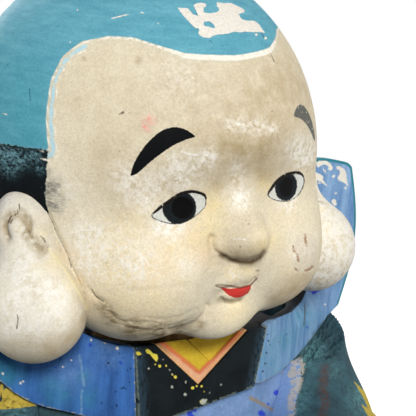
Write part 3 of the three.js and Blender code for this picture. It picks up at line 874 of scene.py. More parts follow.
@dataclass(frozen=True)
class FacePaint:
    """What is drawn on the head, how it has worn and where shade and light are painted on it, read off the
    photograph at 1568 pixels a side.
    """

    brow: Path = (
        (493, 662), (497, 640), (505, 615), (525, 580), (550, 545), (580, 515), (615, 490), (655, 479),
        (690, 484), (720, 500), (735, 513), (727, 519), (700, 527), (660, 545), (620, 570), (580, 600),
        (545, 630), (515, 655))
    eye: Path = (
        (572, 815), (600, 785), (640, 755), (680, 730), (715, 722), (745, 724), (770, 735), (777, 752),
        (772, 780), (745, 808), (715, 828), (680, 843), (640, 843), (600, 832))
    far_brow_drop: Pair = (4.0, 31.0)
    far_eye: Path = (
        (1010, 735), (1022, 712), (1044, 682), (1074, 660), (1104, 651), (1130, 652), (1145, 668),
        (1146, 692), (1135, 720), (1117, 743), (1087, 758), (1052, 758), (1026, 750))
    far_iris: Path = (
        (1036, 708), (1045, 676), (1066, 655), (1092, 652), (1113, 668), (1120, 702), (1110, 735),
        (1090, 754), (1066, 756), (1046, 742))
    iris: Place = (676, 783, 64)
    pupil: Place = (688, 783, 42)
    lip: Path = (
        (832, 1083), (870, 1088), (905, 1083), (945, 1075), (938, 1100), (915, 1117), (890, 1123),
        (862, 1113), (845, 1098))
    mouth: Path = ((815, 1079), (832, 1083), (868, 1080), (905, 1085), (945, 1074), (967, 1050))
    cap_loss: Path = (
        (669, 28), (690, 30), (707, 31), (718, 42), (727, 53), (747, 61), (742, 46), (729, 20), (740, 13),
        (757, 10), (776, 13), (778, 22), (767, 31), (770, 48), (790, 50), (812, 47), (827, 40), (824, 30),
        (817, 23), (817, 8), (845, 12), (870, 11), (900, 25), (923, 38), (920, 47), (900, 53), (905, 64),
        (913, 73), (930, 78), (956, 78), (967, 84), (978, 93), (985, 105), (999, 124), (982, 121),
        (963, 121), (945, 121), (928, 119), (905, 122), (885, 119), (862, 126), (842, 129), (820, 130),
        (802, 136), (790, 143), (776, 142), (762, 139), (752, 132), (747, 124), (751, 115), (750, 108),
        (737, 106), (722, 92), (707, 76), (692, 60), (681, 45))
    cap_island: Path = ((768, 84), (785, 80), (799, 86), (812, 103), (800, 105), (785, 100), (772, 98))
    cap_chips: Rounds = (
        (966, 131, 5), (1001, 144, 5), (265, 160, 4), (596, 90, 4), (614, 107, 3), (20, 430, 4))
    scratches: Sequence[Path] = (
        ((419, 71), (474, 56), (505, 47), (525, 43), (548, 52)), ((590, 88), (603, 92)),
        ((4, 429), (30, 431)), ((290, 30), (300, 62)))
    scrapes: Sequence[Path] = (
        ((22, 250), (38, 236), (48, 230)), ((790, 152), (800, 158)), ((822, 172), (842, 174)),
        ((985, 128), (998, 142)), ((110, 330), (116, 385)), ((300, 28), (296, 50)), ((200, 100), (232, 104)))
    spot: Dabs = ((522, 227, 13, 0.9), (315, 222, 6, 0.7), (293, 371, 9, 0.5), (300, 380, 6, 0.5))
    dots: Rounds = (
        (702, 366, 3.5), (452, 432, 5), (466, 424, 6), (490, 428, 4), (478, 436, 3), (268, 312, 3),
        (404, 283, 3), (400, 238, 3), (640, 240, 2.5), (905, 410, 3), (800, 465, 4), (815, 470, 3),
        (1010, 385, 3), (1025, 420, 3), (450, 570, 3), (380, 700, 2.5), (560, 900, 2.5), (1040, 236, 3),
        (925, 760, 3), (930, 800, 3.5), (938, 845, 3), (925, 830, 2.5), (870, 950, 2.5), (905, 930, 3),
        (540, 1160, 2.5), (610, 1140, 2.5), (1160, 960, 3), (345, 620, 3), (330, 470, 3), (740, 300, 2.5))
    pink: Dabs = ((556, 452, 17, 0.8), (578, 455, 12, 0.7), (546, 478, 12, 0.7), (560, 490, 8, 0.6))
    # Tan dirt on the forehead, with painted shade above the upper lids, on the lower nose and along the far
    # jaw
    tan: Dabs = (
        (860, 400, 330, 0.4), (905, 555, 120, 0.75), (1020, 540, 80, 0.55), (430, 610, 120, 0.45),
        (640, 330, 160, 0.25), (1080, 340, 150, 0.5), (775, 640, 45, 0.3), (640, 705, 55, 0.5),
        (590, 755, 40, 0.4), (1000, 665, 32, 0.7), (1100, 1090, 50, 0.7), (1045, 1130, 40, 0.6),
        (1145, 1040, 40, 0.5), (310, 330, 130, 0.25), (1150, 640, 45, 0.3), (820, 690, 30, 0.5),
        (470, 760, 80, 0.3), (930, 880, 60, 0.25), (850, 950, 28, 0.55), (900, 962, 30, 0.6),
        (950, 955, 30, 0.65), (985, 925, 24, 0.6))
    # Warm yellow tints; the two dabs on the upper lip are painted light where the nose's shadow falls
    warm: Dabs = (
        (800, 770, 55, 0.75), (790, 860, 60, 0.5), (740, 910, 70, 0.4), (450, 1060, 120, 0.5),
        (560, 1140, 130, 0.45), (1010, 905, 50, 0.5), (885, 1175, 70, 0.45), (1000, 700, 34, 0.5),
        (430, 890, 80, 0.35), (640, 960, 90, 0.35), (1080, 800, 60, 0.3), (520, 820, 50, 0.35),
        (1080, 1000, 60, 0.3), (870, 1030, 40, 0.6), (930, 1018, 35, 0.6))
    peach: Dabs = ((770, 960, 55, 0.5), (600, 1010, 70, 0.3), (690, 880, 60, 0.3), (250, 960, 40, 0.5),
                   (300, 1050, 40, 0.5), (340, 1130, 30, 0.4))
    white: Dabs = (
        (340, 900, 80, 0.6), (500, 990, 100, 0.55), (540, 730, 80, 0.45), (680, 652, 80, 0.6),
        (785, 598, 34, 0.85), (900, 745, 50, 0.65), (1130, 566, 55, 0.7), (1150, 600, 40, 0.5),
        (870, 465, 26, 0.5), (920, 472, 30, 0.5), (975, 480, 32, 0.55), (1030, 484, 24, 0.5),
        (650, 856, 50, 0.75), (600, 846, 26, 0.6), (1135, 950, 45, 0.55), (1090, 770, 40, 0.5),
        (240, 720, 60, 0.4), (470, 660, 60, 0.35),
        (700, 270, 130, 0.25), (880, 1040, 40, 0.4), (330, 1010, 60, 0.4), (700, 1000, 50, 0.4),
        (890, 640, 40, 0.4), (1075, 750, 30, 0.5))
    curls: Sequence[Path] = (
        ((684, 570), (700, 580), (722, 584), (740, 585), (752, 577), (770, 574), (790, 579)),
        ((272, 874), (330, 868), (391, 864)), ((281, 1010), (330, 1012), (391, 1024)),
        ((850, 452), (880, 460), (905, 470)), ((880, 905), (905, 898), (925, 905)))
    grey: Dabs = ((180, 715, 28, 0.9), (188, 770, 24, 0.9), (205, 700, 26, 0.6), (178, 650, 18, 0.5),
                  (225, 755, 24, 0.5), (183, 590, 12, 0.6), (215, 790, 20, 0.5))
    hair_worn: Dabs = ((10, 585, 50, 0.5), (70, 595, 34, 0.5), (130, 588, 26, 0.5), (40, 640, 24, 0.4),
                       (150, 640, 18, 0.35))
    # Grime, with painted shade, along the undersides of the jowls
    grime: Dabs = ((420, 1200, 36, 0.7), (500, 1238, 45, 0.8), (600, 1258, 50, 0.8), (690, 1252, 45, 0.7),
                   (400, 1165, 26, 0.5), (755, 1225, 26, 0.5), (375, 1150, 22, 0.5))
    chipped: Path = (
        (1110, 900), (1150, 880), (1185, 890), (1195, 960), (1185, 1010), (1150, 1028), (1110, 1020),
        (1115, 960))
    rusty: Sequence[Path] = (
        ((1152, 886), (1150, 905), (1156, 925)), ((1105, 928), (1108, 950)), ((1150, 1020), (1165, 1015),
        (1178, 1005)), ((1113, 1012), (1122, 1022)), ((1120, 960), (1126, 985)))
    cracks: Sequence[Path] = (
        ((175, 794), (194, 828), (213, 875), (231, 910), (256, 963), (269, 1007)),
        ((344, 1088), (361, 1116), (375, 1126), (390, 1136)), ((388, 993), (398, 992), (408, 993)),
        ((1010, 190), (1020, 205), (1036, 236)), ((427, 1189), (438, 1196), (450, 1208)),
        ((312, 1097), (322, 1108)))
    folds: Sequence[tuple[Path, float, float]] = (
        (((175, 794), (194, 828), (213, 875), (231, 910), (256, 963), (269, 1007), (300, 1075)), 0.7, 5),
        (((330, 1085), (350, 1112), (375, 1128), (392, 1138)), 0.6, 8),
        (((415, 1182), (430, 1192), (450, 1208), (470, 1216)), 0.6, 7),
        (((455, 1225), (500, 1240), (560, 1248), (610, 1243)), 0.35, 6),
        (((480, 1210), (520, 1218), (570, 1214), (600, 1222)), 0.3, 6),
        (((560, 1200), (620, 1205), (690, 1190), (740, 1165)), 0.25, 8),
        (((620, 1232), (660, 1226), (700, 1212)), 0.3, 6),
        (((640, 1248), (700, 1236), (745, 1215), (772, 1188), (785, 1155)), 1.2, 11),
        (((945, 1076), (960, 1062), (970, 1045), (972, 1028)), 1.2, 8),
        (((835, 1130), (850, 1143), (880, 1147), (905, 1140)), 1.4, 10),
        (((818, 1080), (868, 1082), (905, 1086), (945, 1075), (964, 1054)), 0.9, 5),
        (((806, 985), (790, 1040), (776, 1090), (770, 1130)), 0.8, 24),
        (((500, 1098), (570, 1094), (640, 1086), (720, 1076)), 0.25, 14),
        (((800, 895), (797, 915), (805, 942), (824, 962), (850, 976)), 2.0, 12),
        (((850, 976), (890, 986), (935, 988), (975, 972)), 1.2, 9))
    # Painted shadow under the nose bulb: a soft brown band along this path
    under_nose: Path = ((832, 962), (868, 978), (905, 986), (945, 988), (978, 972), (996, 948))
    nose_shadow: float = 10.0
    scratch_half: float = 2.5
    stroke_halves: Sequence[tuple[str, float]] = (("scrapes", 2), ("curls", 3), ("cracks", 2), ("rusty", 4))
    eye_zone: Zone = (545, 800, 695, 865)
    brow_zone: Zone = (478, 750, 465, 675)
    mouth_zone: Zone = (790, 990, 1040, 1140)
    flaked_zone: Zone = (640, 1040, -20, 170)
    far_to_near: Pair = (-395.0, 75.0)
    lid_slant: Place = (572, 815, 0.307)
    far_lid_slant: Place = (1078, 700, 0.5)
    lid_fade: Pair = (-10.0, 25.0)
    far_pupil_inset: float = 16.0
    lid_inset: float = 0.1
    lid_half: float = 0.22
    upper_lid_more: float = 0.6
    mouth_half: float = 0.45


@dataclass
class Head:
    """The moulded head, in its own frame. Sizes in millimetres from the eye line."""

    cranium: Lump = Lump((0.0, 2.0, 12.0), (94.0, 101.0, 101.0))
    jaw: Lump = Lump((0, -14, -32), (74.5, 55, 42), 30)
    cheeks: Lump = Lump((41, -48, -33.5), (32, 38, 29), 20)
    jowls: Lump = Lump((37, -56.5, -47), (32.5, 27.5, 24.5), 12)
    chin: Lump = Lump((0, -70, -65.5), (20, 10.5, 12), 11)
    eye_hollows: Lump = Lump((37, -126, -2.5), (38.5, 40, 25), 22)
    bridge_hollow: Lump = Lump((0, -120, -7), (26.5, 32.5, 27), 18)
    muzzle: Lump = Lump((0, -70.5, -38.5), (17, 13, 12), 8)
    eyeballs: Lump = Lump((36, -71, -2.8), (22, 9.3, 14), 4)
    nose_ridge: Bar = ((0, -75, 7), (0, -84, -15), 7.5, 10.5)
    nose_tip: Lump = Lump((0, -91.5, -21), (11.5, 11.5, 10.5), 7)
    nostrils: Lump = Lump((9.5, -83.5, -25.5), (8, 9, 7.2), 3.5)
    nose_fillets: Pair = (2.5, 10.0)
    nose_levels: Pair = (-31.0, -12.0)
    upper_lip: Lump = Lump((5, -81, -41.5), (9, 5.2, 4.6), 4)
    lower_lip: Lump = Lump((0, -80.5, -50.5), (9.5, 5, 4.6), 2.5)
    middle: Place = (0.0, 0.0, -10.0)
    clearance: float = 2.0
    around: float = 95.0
    plug_radius: float = 34.8
    plug_level: float = -81.8
    plug_half: float = 9.4
    cap_edge: Path = (
        (0, 66), (19, 67), (30, 68), (44, 71.5), (58, 75), (73, 75.5), (88.5, 73), (98, 66.5),
        (102, 56), (101.5, 39), (99, 25))
    hair_edge: Path = ((99, 25), (100, 12), (101.5, 3), (100.5, -8), (104, -18), (113, -45), (128, -68))
    nape: float = -72.0
    beyond_back: float = 20.0
    beyond_front: float = -60.0
    over_top: float = 200.0
    line_width: float = 1.1
    line_swell: float = 1.2
    line_swell_arc: Pair = (48.0, 25.0)
    temple_band: Place = (2.7, 1.0, 84.0)
    inner_band: Place = (4.7, 0.5, 80.0)
    bands_end: float = 104.0
    bands_taper: float = 0.3
    cap_low_levels: Pair = (95.0, 25.0)
    cap_low_soft: float = 4.0
    drawn_before: float = -35.0
    refined_before: float = -40.0
    lips_before: float = -70.0
    worn_before: float = 40.0
    turned_away: float = 0.04
    face_fade: Pair = (-30.0, 10.0)
    fold_reaches: Pair = (34.0, 10.0)
    ear_middle: Place = (88, -40, -38)
    curl: Place = (93.3, -38.5, -11.0)
    curl_across: Place = (-0.62, -0.78, 0.0)
    curl_ring: float = 6.0
    curl_arc: Pair = (-25.0, 225.0)
    curl_tail: Pair = (12.5, -10.0)
    groove_depth: float = 2.4
    groove_width: float = 2.3
    knob_height: float = 1.4
    knob_width: float = 4.5
    rim_radii: Place = (15, 20, 20)
    lobe_radii: Place = (25, 25, 26)
    ear_fillet: float = 16.0
    rims: dict[Side, Place] = field(
        default_factory=lambda: {Side.LEFT: (82, -27, -17), Side.RIGHT: (85, -29, -16)})
    lobes: dict[Side, Place] = field(
        default_factory=lambda: {Side.LEFT: (87, -45, -49.5), Side.RIGHT: (90, -45, -50)})
    lock: Bar = ((0, 72, 81), (0, 35.9, 108.3), 11.0, 9.6)
    lock_middle: Place = (0, 54, 94)
    tie_at: float = 14.0
    tie_depth: float = 1.3
    tie_width: float = 2.2
    strands: float = 5.0
    strand_depth: float = 0.35
    strand_axis: float = 95.0
    strand_fade: Pair = (8.0, 14.0)
    paint: FacePaint = field(default_factory=FacePaint)

    def form(self, p: Points) -> Points:
        """The head's outside: cranium, jowls, chin, hollowed eyes, nose and lips.

        Args:
            p: Points, one row each.

        Returns:
            One distance for each point.
        """
        m = mirrored(p)
        d = self.cranium.alone(m)
        for lump in (self.jaw, self.cheeks, self.jowls, self.chin):
            d = lump.added(d, m)
        for hollow in (self.eye_hollows, self.bridge_hollow):
            d = hollow.carved(d, m)
        for lump in (self.muzzle, self.eyeballs):
            d = lump.added(d, m)
        nose = capsule(m, *self.nose_ridge)
        for lump in (self.nose_tip, self.nostrils):
            nose = lump.added(nose, m)
        low, high = self.nose_fillets
        d = join(d, nose, low + (high - low) * ramp(p[..., 2], *self.nose_levels))
        for lip in (self.upper_lip, self.lower_lip):
            d = lip.added(d, m)
        return d

    def curl_flat(self, p: Points) -> Points:
        """Points of the left ear seen square on, from the middle of its curl."""
        offset = p - np.array(self.curl)
        return beside(offset @ np.array(self.curl_across), offset[..., 2])

    def ear_groove(self, p: Points) -> Points:
        """Distance to the line of the left ear's curl, seen square on.

        Args:
            p: Points, one row each.

        Returns:
            One distance for each point.
        """
        flat, ring = self.curl_flat(p), self.curl_ring
        s, t = flat[..., 0], flat[..., 1]
        start, end = self.curl_arc
        angle = np.degrees(np.arctan2(t, s))
        turns = [math.radians(limit) for limit in self.curl_arc]
        tips = [(ring * math.cos(turn), ring * math.sin(turn)) for turn in turns]
        ends = [np.hypot(s - x, t - z) for x, z in tips]
        on_ring = (angle > start) | (angle < end - 360.0)
        groove = np.where(on_ring, np.abs(np.hypot(s, t) - ring), np.minimum(*ends))
        tail = to_path(flat.reshape(-1, 2), (tips[0], self.curl_tail))
        return np.minimum(groove, tail.reshape(groove.shape))

    def ear_form(self, p: Points, side: Side = Side.LEFT) -> Points:
        """One ear, laid on the left: a round lobe under a rim that curls round a knob.

        Args:
            p: Points, one row each.
            side: Which ear.

        Returns:
            One distance for each point.
        """
        lobe = ellipsoid(p, self.lobes[side], self.lobe_radii)
        rim = ellipsoid(p, self.rims[side], self.rim_radii)
        flat = self.curl_flat(p)
        knob = self.knob_height * glow(np.hypot(flat[..., 0], flat[..., 1]), self.knob_width)
        groove = self.groove_depth * glow(self.ear_groove(p), self.groove_width)
        return join(lobe, rim, self.ear_fillet) + groove - knob

    def room(self, p: Points) -> Points:
        """The space in the figure's frame that the head and ears pass through, with a clearance.

        Args:
            p: Points, one row each.

        Returns:
            One distance for each point.
        """
        reach = [LEAN.to_head(LEAN.turn(p, nod)) for nod in LEAN.nods]
        forms = [np.minimum(self.form(q), self.ear_form(mirrored(q), Side.RIGHT)) for q in reach]
        return np.min([*forms, *(self.plug_form(q) for q in reach)], axis=0) - self.clearance

    def plug_form(self, p: Points) -> Points:
        """The disc in the neck hole, which swings with the head."""
        across = np.hypot(p[..., 0], p[..., 1] - LEAN.pivot_y) - self.plug_radius
        return np.maximum(across, np.abs(p[..., 2] - self.plug_level) - self.plug_half)

    def pixels(self, p: Points) -> Points:
        """Where the photograph shows points of the head."""
        return VIEW.pixels(LEAN.to_part(p))

    def near_pixels(self, p: Points) -> Points:
        """Where the photograph shows points of the head once they are laid on its nearer half."""
        return self.pixels(mirrored(p) * np.array([-1.0, 1.0, 1.0]))

    def seen(self, p: Points, normal: Points) -> Points:
        """How squarely points of the head look at the photograph's camera."""
        x, z = turned(normal[:, 0], normal[:, 2], LEAN.lean)
        return VIEW.faces(LEAN.to_part(p), beside(x, normal[:, 1], z))

    def detailed(self, p: Points) -> Points:
        """Which points lie where the brows, eyes and mouth are drawn.

        Args:
            p: Points, one row each.

        Returns:
            True for each such point.
        """
        paint = self.paint
        flat = np.where(p[:, :1] > 0, self.pixels(p) + np.array(paint.far_to_near), self.near_pixels(p))
        zones = (paint.eye_zone, paint.brow_zone, paint.mouth_zone)
        return np.any([inside(flat, zone) for zone in zones], axis=0) & (p[:, 1] < self.refined_before)

    def worn(self, p: Points, reach: float) -> Points:
        """Which points lie within that many pixels of a fold, or where the cap has flaked.

        Args:
            p: Points, one row each.
            reach: The reach in pixels.

        Returns:
            True for each such point.
        """
        px = self.pixels(p)
        folded = strokes(px, [path for path, _, _ in self.paint.folds]) < reach
        shown = self.seen(p, slope_of(self.form, p)) > GRAZING
        return (inside(px, self.paint.flaked_zone) | folded) & shown & (p[:, 1] < self.worn_before)

    def fold(self, bm: BMesh) -> None:
        """Presses the folds and cracks of the jowls and the mouth into the face.

        Args:
            bm: The face's mesh.
        """
        places = coords(bm)
        px, normal = self.pixels(places), slope_of(self.form, places)
        depth = np.zeros(len(places))
        for path, deep, wide in self.paint.folds:
            depth += deep * glow(to_path(px, path), wide)
        depth *= ramp(self.seen(places, normal), 0.0, 0.2) * ramp(-places[:, 1], -SEAM_Y, 6.0)
        move_all(bm, places - depth[:, None] * normal)

    def unrolled(self, p: Points) -> Points:
        """Points by their way round from the face's middle line and by their height."""
        angle = np.arctan2(np.abs(p[:, 0]), -p[:, 1])
        return beside(angle * self.around, p[:, 2])

    def drawn(self, p: Points) -> Masks:
        """The masks of what was painted with a brush: cap, hair, brows, eyes and lips.

        Args:
            p: Points, one row each.

        Returns:
            The masks by name.
        """
        mm, paint = VIEW.pixel, self.paint
        px, near, flat = self.pixels(p), self.near_pixels(p), self.unrolled(p)
        arc, left = flat[:, 0], p[:, 0] > 0
        back = self.around * math.pi + self.beyond_back
        brow_level, temple_level = self.cap_edge[0][1], self.cap_edge[-1][1]
        cap = within(flat, [
            *self.cap_edge, (back, temple_level), (back, self.over_top), (self.beyond_front, self.over_top),
            (self.beyond_front, brow_level)], smooth=False)
        hair = within(flat, [*self.hair_edge, (back, self.nape), (back, temple_level)], smooth=False)
        front = p[:, 1] < self.drawn_before
        brow = kept_to(front, within(near, paint.brow))
        far_brow = kept_to(front, within(near + paint.far_brow_drop, paint.brow))
        hidden = left & (self.seen(p, slope_of(self.form, p)) < self.turned_away)
        eye = np.where(left, within(px, paint.far_eye), within(near, paint.eye))
        eye = kept_to(front & ~hidden, eye)
        iris = np.where(left, within(px, paint.far_iris), spots(near, [paint.iris]))
        pupil = np.where(left, iris + paint.far_pupil_inset, spots(near, [paint.pupil]))
        over_lid = np.where(left, above(px, paint.far_lid_slant), above(near, paint.lid_slant))
        upper = paint.upper_lid_more * ramp(over_lid, *paint.lid_fade)
        swell = self.line_swell * ramp(arc, *self.line_swell_arc)
        bands = [np.maximum(cap - self.line_width - swell, -cap)]
        for middle, half, start in (self.inner_band, self.temple_band):
            bands.append(np.maximum(np.abs(cap - middle) - half, start - arc))
        line, inner, temple = (np.maximum(band, self.bands_taper * (arc - self.bands_end)) for band in bands)
        lips = p[:, 1] < self.lips_before
        mouth = kept_to(lips, to_path(px, paint.mouth))
        cap_low = ramp(flat[:, 1], *self.cap_low_levels) * ramp(cap, self.cap_low_soft, -self.cap_low_soft)
        return {
            "cap": cap, "cap_low": cap_low, "hair": hair,
            "temple": temple, "hairline": np.minimum(line, inner),
            "brow_near": np.where(left, FAR, brow), "brow_far": np.where(left, far_brow, FAR),
            "eye": eye, "iris": np.maximum(eye, mm * iris), "pupil": np.maximum(eye, mm * pupil),
            "lid": np.abs(eye + paint.lid_inset) - paint.lid_half - upper,
            "lip": kept_to(lips, within(px, paint.lip)), "mouth": mouth - paint.mouth_half,
        }

    def marks(self, p: Points, normal: Points) -> Masks:
        """The masks of the head's paint, of its wear, and of the shade and light painted on it.

        Args:
            p: Points of the head.
            normal: Their normals.

        Returns:
            One mask for each name.
        """
        paint, drawn = self.paint, self.drawn(p)
        px, near = self.pixels(p), self.near_pixels(p)
        facing = self.seen(p, normal)
        shown, front = ramp(facing, 0.0, 0.25), ramp(-p[:, 1], *self.face_fade)
        loss = np.maximum(within(px, paint.cap_loss, smooth=False), -within(px, paint.cap_island))
        chips = np.minimum(spots(px, paint.cap_chips), strokes(px, paint.scratches) - paint.scratch_half)
        shadow = to_path(px, paint.under_nose)
        lines = {name: strokes(px, getattr(paint, name)) - half for name, half in paint.stroke_halves}
        masks = {
            **facing_only(facing, cap_loss=np.minimum(loss, chips), dots=spots(px, paint.dots),
                          chipped=within(px, paint.chipped), **lines),
            "under_nose": shown * glow(shadow, paint.nose_shadow),
            "spot": shown * dabbed(px, paint.spot), "pink": shown * dabbed(px, paint.pink),
            "grey": front * dabbed(near, paint.grey),
            "hair_worn": ramp(-drawn["hair"], 0.0, 2.0) * dabbed(near, paint.hair_worn),
        }
        masks["cap_loss"] = np.maximum(masks["cap_loss"], drawn["cap"])
        for name in ("tan", "warm", "peach", "white", "grime"):
            dabs = getattr(paint, name)
            masks[name] = front * (shown * dabbed(px, dabs) + (1.0 - shown) * dabbed(near, dabs))
        return {**drawn, **masks}

    def build(self, finishes: Finishes) -> list[Object]:
        """Builds the shells, the ears and the topknot.

        Args:
            finishes: Materials by the name of the finish.

        Returns:
            The pieces.
        """
        face = wrap(self.form, self.middle, 7, focus=1.3)
        crown = face.copy()
        cut(face, (0, SEAM_Y, 0), (0, -1, 0))
        cut(crown, (0, SEAM_Y, 0), (0, 1, 0))
        for reach in self.fold_reaches:
            refine(face, self.form, lambda p, reach=reach: self.detailed(p) | self.worn(p, reach))
        self.fold(face)
        plans = ((face, "painted_face", "skin", "face_shell"), (crown, "painted_crown", "cap", "crown_shell"))
        shells = [
            make_piece(bm, name, Body.HEAD, slot, node, finishes["skin"], self.marks, LEAN.to_part)
            for bm, name, slot, node in plans
        ]
        return [*shells, *self.build_ears(finishes["ear"]), self.build_topknot(finishes["hair"])]

    def ear_marks(self, p: Points, normal: Points) -> Masks:
        """The masks of the ears' paint and wear: pale lobes with a tan rim of painted shade, painted shade in
        the curl's groove, painted light that makes the far lobe paler, and the near one's cracks.

        Args:
            p: Points, one row each.
            normal: The surface's direction at each point.

        Returns:
            The masks by name.
        """
        px, near, right = self.pixels(p), self.near_pixels(p), p[:, 0] < 0
        facing = np.where(right, self.seen(p, normal), -1.0)
        far_lobe_painted_light, groove_width, crack_half, ridge_half = 0.7, 2.0, 2.5, 4.0
        # Mostly painted shade along the lobes' lower and right edges
        tan = ((250, 1290, 50, 0.7), (315, 1200, 45, 0.7), (300, 1130, 36, 0.5), (180, 1345, 70, 0.7),
               (60, 1325, 60, 0.6), (120, 1275, 26, 0.5), (40, 850, 30, 0.4), (120, 830, 30, 0.3),
               (110, 1090, 24, 0.5), (190, 1215, 24, 0.5), (290, 1270, 40, 0.6))
        white = ((60, 1010, 50, 0.8), (110, 1060, 50, 0.8), (180, 1100, 50, 0.9), (60, 1150, 60, 0.9),
                 (205, 1175, 45, 0.9), (130, 1220, 50, 0.8), (40, 1240, 40, 0.7), (30, 745, 40, 0.7),
                 (90, 870, 32, 0.8), (120, 960, 50, 0.7), (225, 1120, 40, 0.7), (240, 1230, 26, 0.6))
        warm = ((215, 985, 40, 0.6), (270, 1070, 45, 0.6), (160, 1010, 60, 0.3), (230, 1180, 60, 0.3),
                (150, 880, 30, 0.5), (85, 860, 20, 0.4))
        cracks = (((65, 1187), (68, 1203), (66, 1218), (63, 1239)), ((31, 841), (36, 826), (44, 814)),
                  ((40, 840), (48, 826)), ((56, 811), (70, 801), (84, 800)), ((72, 769), (74, 786)),
                  ((106, 866), (118, 884), (134, 903), (156, 910), (168, 918), (181, 932)),
                  ((150, 890), (165, 900), (172, 915)))
        ridge = (((181, 935), (219, 978), (250, 1025), (281, 1072), (309, 1125), (325, 1165)),)
        return {
            "tan": dabbed(near, tan), "warm": dabbed(near, warm),
            # The far lobe is painted paler all over: painted light
            "white": np.where(right, dabbed(near, white), far_lobe_painted_light),
            # Painted shade in the curl's groove
            "groove": glow(self.ear_groove(mirrored(p)), groove_width),
            **facing_only(facing, cracks=strokes(px, cracks) - crack_half,
                          ridge=strokes(px, ridge) - ridge_half),
        }

    def build_ears(self, finish: Material) -> list[Object]:
        """Builds both ears, whose inner sides sink into the head.

        Args:
            finish: The ears' finish.

        Returns:
            Both ears.
        """
        ears = []
        for side in Side:
            bm = wrap(lambda p, side=side: self.ear_form(p, side), self.ear_middle, 7)
            put_on(bm, side)
            name = f"{side.name.lower()}_ear"
            ears.append(make_piece(
                bm, f"moulded_{name}", Body.HEAD, "skin", name, finish, self.ear_marks, LEAN.to_part))
        return ears

    def topknot_form(self, p: Points) -> Points:
        """A lock of hair folded forward on the crown and tied near its root.

        Args:
            p: Points, one row each.

        Returns:
            One distance for each point.
        """
        start, end = (np.array(place, float) for place in self.lock[:2])
        along = (end - start) / np.linalg.norm(end - start)
        reach = (p - start) @ along
        waves = np.sin(self.strands * np.arctan2(p[:, 0], p[:, 2] - self.strand_axis))
        combed = self.strand_depth * waves * ramp(reach, *self.strand_fade)
        return capsule(p, *self.lock) + combed + self.tie_depth * glow(reach - self.tie_at, self.tie_width)

    def build_topknot(self, finish: Material) -> Object:
        """Builds the topknot."""
        bm = wrap(self.topknot_form, self.lock_middle, 5)
        return make_piece(bm, "tied_topknot", Body.HEAD, "hair", "topknot", finish, None, LEAN.to_part)


# What the figure wears: boards, collars, chest, trousers and sleeves


